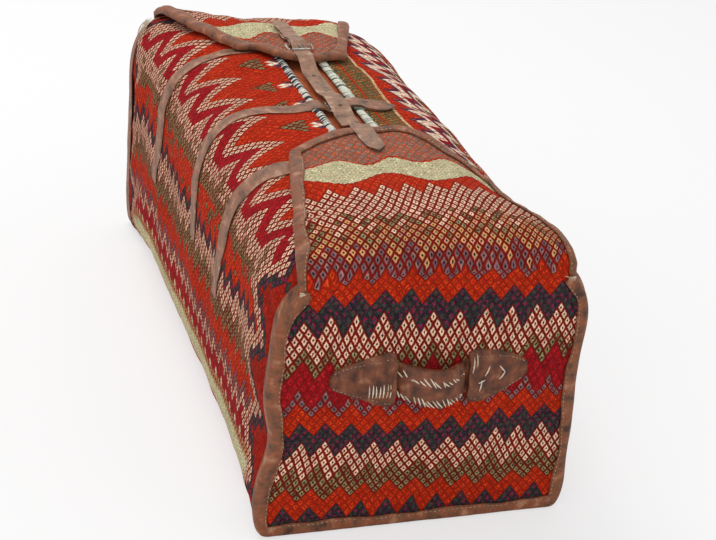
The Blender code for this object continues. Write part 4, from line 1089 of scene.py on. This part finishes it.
# The buckles: plain bent steel wire, dulled and a little worn.  The CAD wires
# stay and are only smoothed.
buckle_finish, tree, shader = new_finish("worn_steel", 0.26)
rub = mottle(tree, add_node(tree, "TexCoord").outputs["Object"], 300.0, 3.0)
paint_with(shader, steps(rub, [(0.3, dye(176, 168, 156)), (0.7, dye(232, 228, 220))], True), rub, 0.0002)
shader.inputs["Metallic"].default_value = 1.0
for node in ("near_cross_buckle", "middle_cross_buckle", "far_cross_buckle", "near_cross_prong",
             "middle_cross_prong", "far_cross_prong", "main_buckle_frame", "main_buckle_prong"):
    wire = bpy.data.objects[node]
    for slot in wire.material_slots:
        slot.material = buckle_finish
    wire.modifiers.new("smoothed", "SUBSURF").levels = 1
    wire.modifiers["smoothed"].render_levels = 1

# The two handles: a folded leather grip that bulges off each end, held by two
# pointed pads and sewn by hand with coarse pale thread.
HANDLE_X, HANDLE_Z, HANDLE_SLOPE = -0.010, 0.192, 0.037
PAD, PAD_IN, PAD_WIDE = 0.072, 0.041, 0.062
handle_finish = leather("handle_hide", (dye(56, 31, 22), dye(94, 52, 33), dye(120, 66, 40), dye(148, 100, 72)),
                        0.5)
coarse = thread("coarse_thread", [(0.0, dye(236, 222, 200)), (0.6, dye(212, 192, 164))])
for end in ("near", "far"):
    def handle_at(along, upwards, lift):
        """Points on an end face, in the handle's own directions."""
        along, upwards, lift = spread(along, upwards, lift)
        return on_panel(end, HANDLE_X + along, HANDLE_Z + upwards - HANDLE_SLOPE * along, GAP + CLOTH + lift)

    for hand, side, shape, drift in ((-1, "left", (0.92, 0.98, 0.86, 0.76, 0.62, 0.49, 0.36, 0.14), 0.000),
                                     (1, "right", (0.86, 0.97, 0.96, 0.90, 0.76, 0.58, 0.40, 0.24), 0.006)):
        s = np.linspace(0, 1, 44)
        wide = PAD_WIDE / 2 * np.interp(s, (0, 0.1, 0.3, 0.46, 0.64, 0.8, 0.93, 1), shape)
        base = np.interp(s, (0, 0.28, 0.46, 1), (0.0062, 0.0052, 0.0018, 0.0014))
        t = np.linspace(-1, 1, 34)
        puffed = 0.0012 * (1 - t[None] ** 4) + 0.0009 * swell(s[:, None] * 0.07, t[None] * 0.03, (0.01, 0.03), 71)
        rim = 0.0007 * bell(np.abs(t[None]), 0.90, 0.05)
        along = hand * (PAD_IN + PAD * s)[:, None]
        shifted = drift * (s ** 2)[:, None] + wide[:, None] * t[None]
        lowered = base[:, None] * (1 - 0.7 * unit(np.abs(t[None]) - 0.76) / 0.24)
        upper = handle_at(along, shifted, 0.0008 + lowered + puffed - rim)
        lower = handle_at(along, shifted[:, ::-1], 0.0002)
        rings = np.concatenate([upper, lower], axis=1)
        pad = add_surface("%s_handle_%s_end" % (end, side), rings, handle_finish, strip_maps(rings), around=True)
        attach(pad, "bag")
        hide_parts("%s_handle_%s_pad" % (end, side))
        facing = outward(handle_at, along[:, 0], shifted[:, 3])
        for tag, column in (("low", 3), ("high", -4)):
            edge = handle_at(along[:, 0], shifted[:, column], 0.0010 + lowered[:, column] + puffed[:, column])
            row = sewn_line("%s_pad_%s_%s_stitches" % (end, side, tag), edge, facing, 0.0046, 0.0030, 0.0004,
                            sewing)
            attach(row, "bag")
    arch, tongue = PAD_IN - 0.003, 0.022
    along = np.linspace(-PAD_IN - tongue, PAD_IN + tongue, 90)
    share = unit((along + arch) / (2 * arch))
    grown = np.sin(np.pi * share)
    thick = 0.0015 + 0.0035 * np.minimum(1, 2 * grown)
    middle = 0.0018 + 0.020 * grown
    turn = circle(28)
    upwards = 0.001 + 0.0190 * blunted(np.cos(turn), 0.6)
    beside = inset_normals(np.stack([along, middle], axis=1))[:, None] * thick[:, None, None]
    beside = beside * blunted(np.sin(turn), 0.6)[None, :, None]
    rings = handle_at(along[:, None] + beside[..., 0], upwards[None], middle[:, None] + beside[..., 1])
    grip = add_surface(end + "_grip", rings, handle_finish, strip_maps(rings), around=True)
    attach(grip, "bag")
    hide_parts(end + "_handle_grip")

    def on_handle(along, upwards, out):
        """A point above the leather at the front of grip and pads."""
        grown = np.sin(np.pi * unit((along + arch) / (2 * arch)))
        front = 0.0033 + 0.020 * grown + 0.0035 * np.minimum(1, 2 * grown)
        return handle_at(along, upwards, np.where(np.abs(along) < arch, front, 0.0074) + out)

    rng = np.random.default_rng(72)
    low_along = np.linspace(-0.036, 0.034, 17)
    mid_along = np.linspace(-0.034, 0.036, 15)
    step_along = np.linspace(-0.070, -0.047, 7)
    cross_along = np.array([0.047, 0.052, 0.045, 0.055, 0.050, 0.060, 0.078, 0.084])
    begin_along = np.concatenate([low_along, mid_along, step_along, cross_along])
    begin_up = np.concatenate([-0.0178 + 0 * low_along, 0.0035 + 0.06 * np.abs(mid_along), -0.017 + 0 * step_along,
                               np.array([-0.014, -0.006, 0.006, -0.016, 0.012, 0.002, -0.003, 0.006])])
    turn = np.concatenate([rng.normal(2.2, 0.22, 17), rng.normal(2.3, 0.25, 15), rng.normal(1.57, 0.05, 7),
                           rng.uniform(0.3, 2.8, 8)])
    length = np.concatenate([rng.uniform(0.007, 0.011, 17), rng.uniform(0.007, 0.012, 15),
                             rng.uniform(0.013, 0.016, 7), rng.uniform(0.009, 0.018, 8)])
    stop_along, stop_up = begin_along + length * np.cos(turn), begin_up + length * np.sin(turn)
    starts = on_handle(begin_along, begin_up, 0.0004)
    stops = on_handle(stop_along, stop_up, 0.0004)
    whip = add_stitches(end + "_handle_stitches", starts, stops, outward(on_handle, begin_along, begin_up),
                        0.00085, coarse)
    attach(whip, "bag")

# Loose ends: a tuft of pale warp threads hangs out where the far flap is
# folded at the left corner, and a few stick out at each pinched kink.
fringe_finish = thread("warp_threads", [(0.0, dye(222, 204, 178)), (0.6, dye(190, 166, 138))])
rng = np.random.default_rng(81)
count = 16
begin_across, begin_in = 0.150 + 0.010 * rng.random(count), np.linspace(0.030, 0.056, count)
starts = at_end("far", begin_across, begin_in, 0.0100)
stops = at_end("far", begin_across + rng.uniform(0.012, 0.024, count), begin_in + rng.normal(0, 0.004, count),
               0.0040)
tuft = add_stitches("corner_fringe", starts, stops, outward(at_end, "far", begin_across, begin_in), 0.0005,
                    fringe_finish, bow=0.6)
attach(tuft, "bag")
for end in ("near", "far"):
    starts, stops, facing = [], [], []
    for hand in (-1, 1):
        fan = rng.uniform(-0.005, 0.005, 9)
        height = KINKS[end] + 0.0015 + 0.003 * rng.random(9)
        edge = hand * (seam_width(end, hand, KINKS[end]) - 0.001)
        begin = on_panel(end, edge - hand * 0.009 * rng.random(9), height, 0.003 + 0.003 * rng.random(9))
        starts.append(begin)
        stops.append(on_panel(end, edge + hand * 0.0035, height + 0.4 * fan, 0.006))
        facing.append(outward(on_panel, end, edge, height))
    tuft = add_stitches(end + "_kink_threads", np.concatenate(starts), np.concatenate(stops),
                        np.concatenate(facing), 0.0007, fringe_finish, bow=0.5)
    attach(tuft, "bag")

# The long strap's punched holes: four dark round dents along its middle, coloured near-black as painted shade for
# the hollow of each hole.
hole_shade_finish, tree, shader = new_finish("painted_hole_shade", 0.9)
hole_shade_mottle = mottle(tree, add_node(tree, "TexCoord").outputs["Object"], 400.0)
# Painted shade: a mottled brown-black inside each hole.
paint_with(shader, steps(hole_shade_mottle, [(0.3, dye(24, 14, 10)), (0.7, dye(52, 32, 24))], True))
for number, along in enumerate((0.300, 0.352, 0.408, 0.462)):
    radius = np.array([0.0, 0.0010, 0.0018, 0.0022])[:, None]
    turn = circle(20)
    top = float(lid_seat(np.array(along))) + 0.0014 + STRAP_SKIN / 2
    dent = np.array([-0.0003, -0.0002, 0.0003, 0.00005])[:, None]
    rings = lid_place(along + radius * np.cos(turn), radius * np.sin(turn), top + 0.0002 + dent)
    hole = add_surface("strap_hole_%d" % (number + 1), rings, hole_shade_finish, strip_maps(rings), around=True,
                       capped=False)
    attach(hole, "bag")
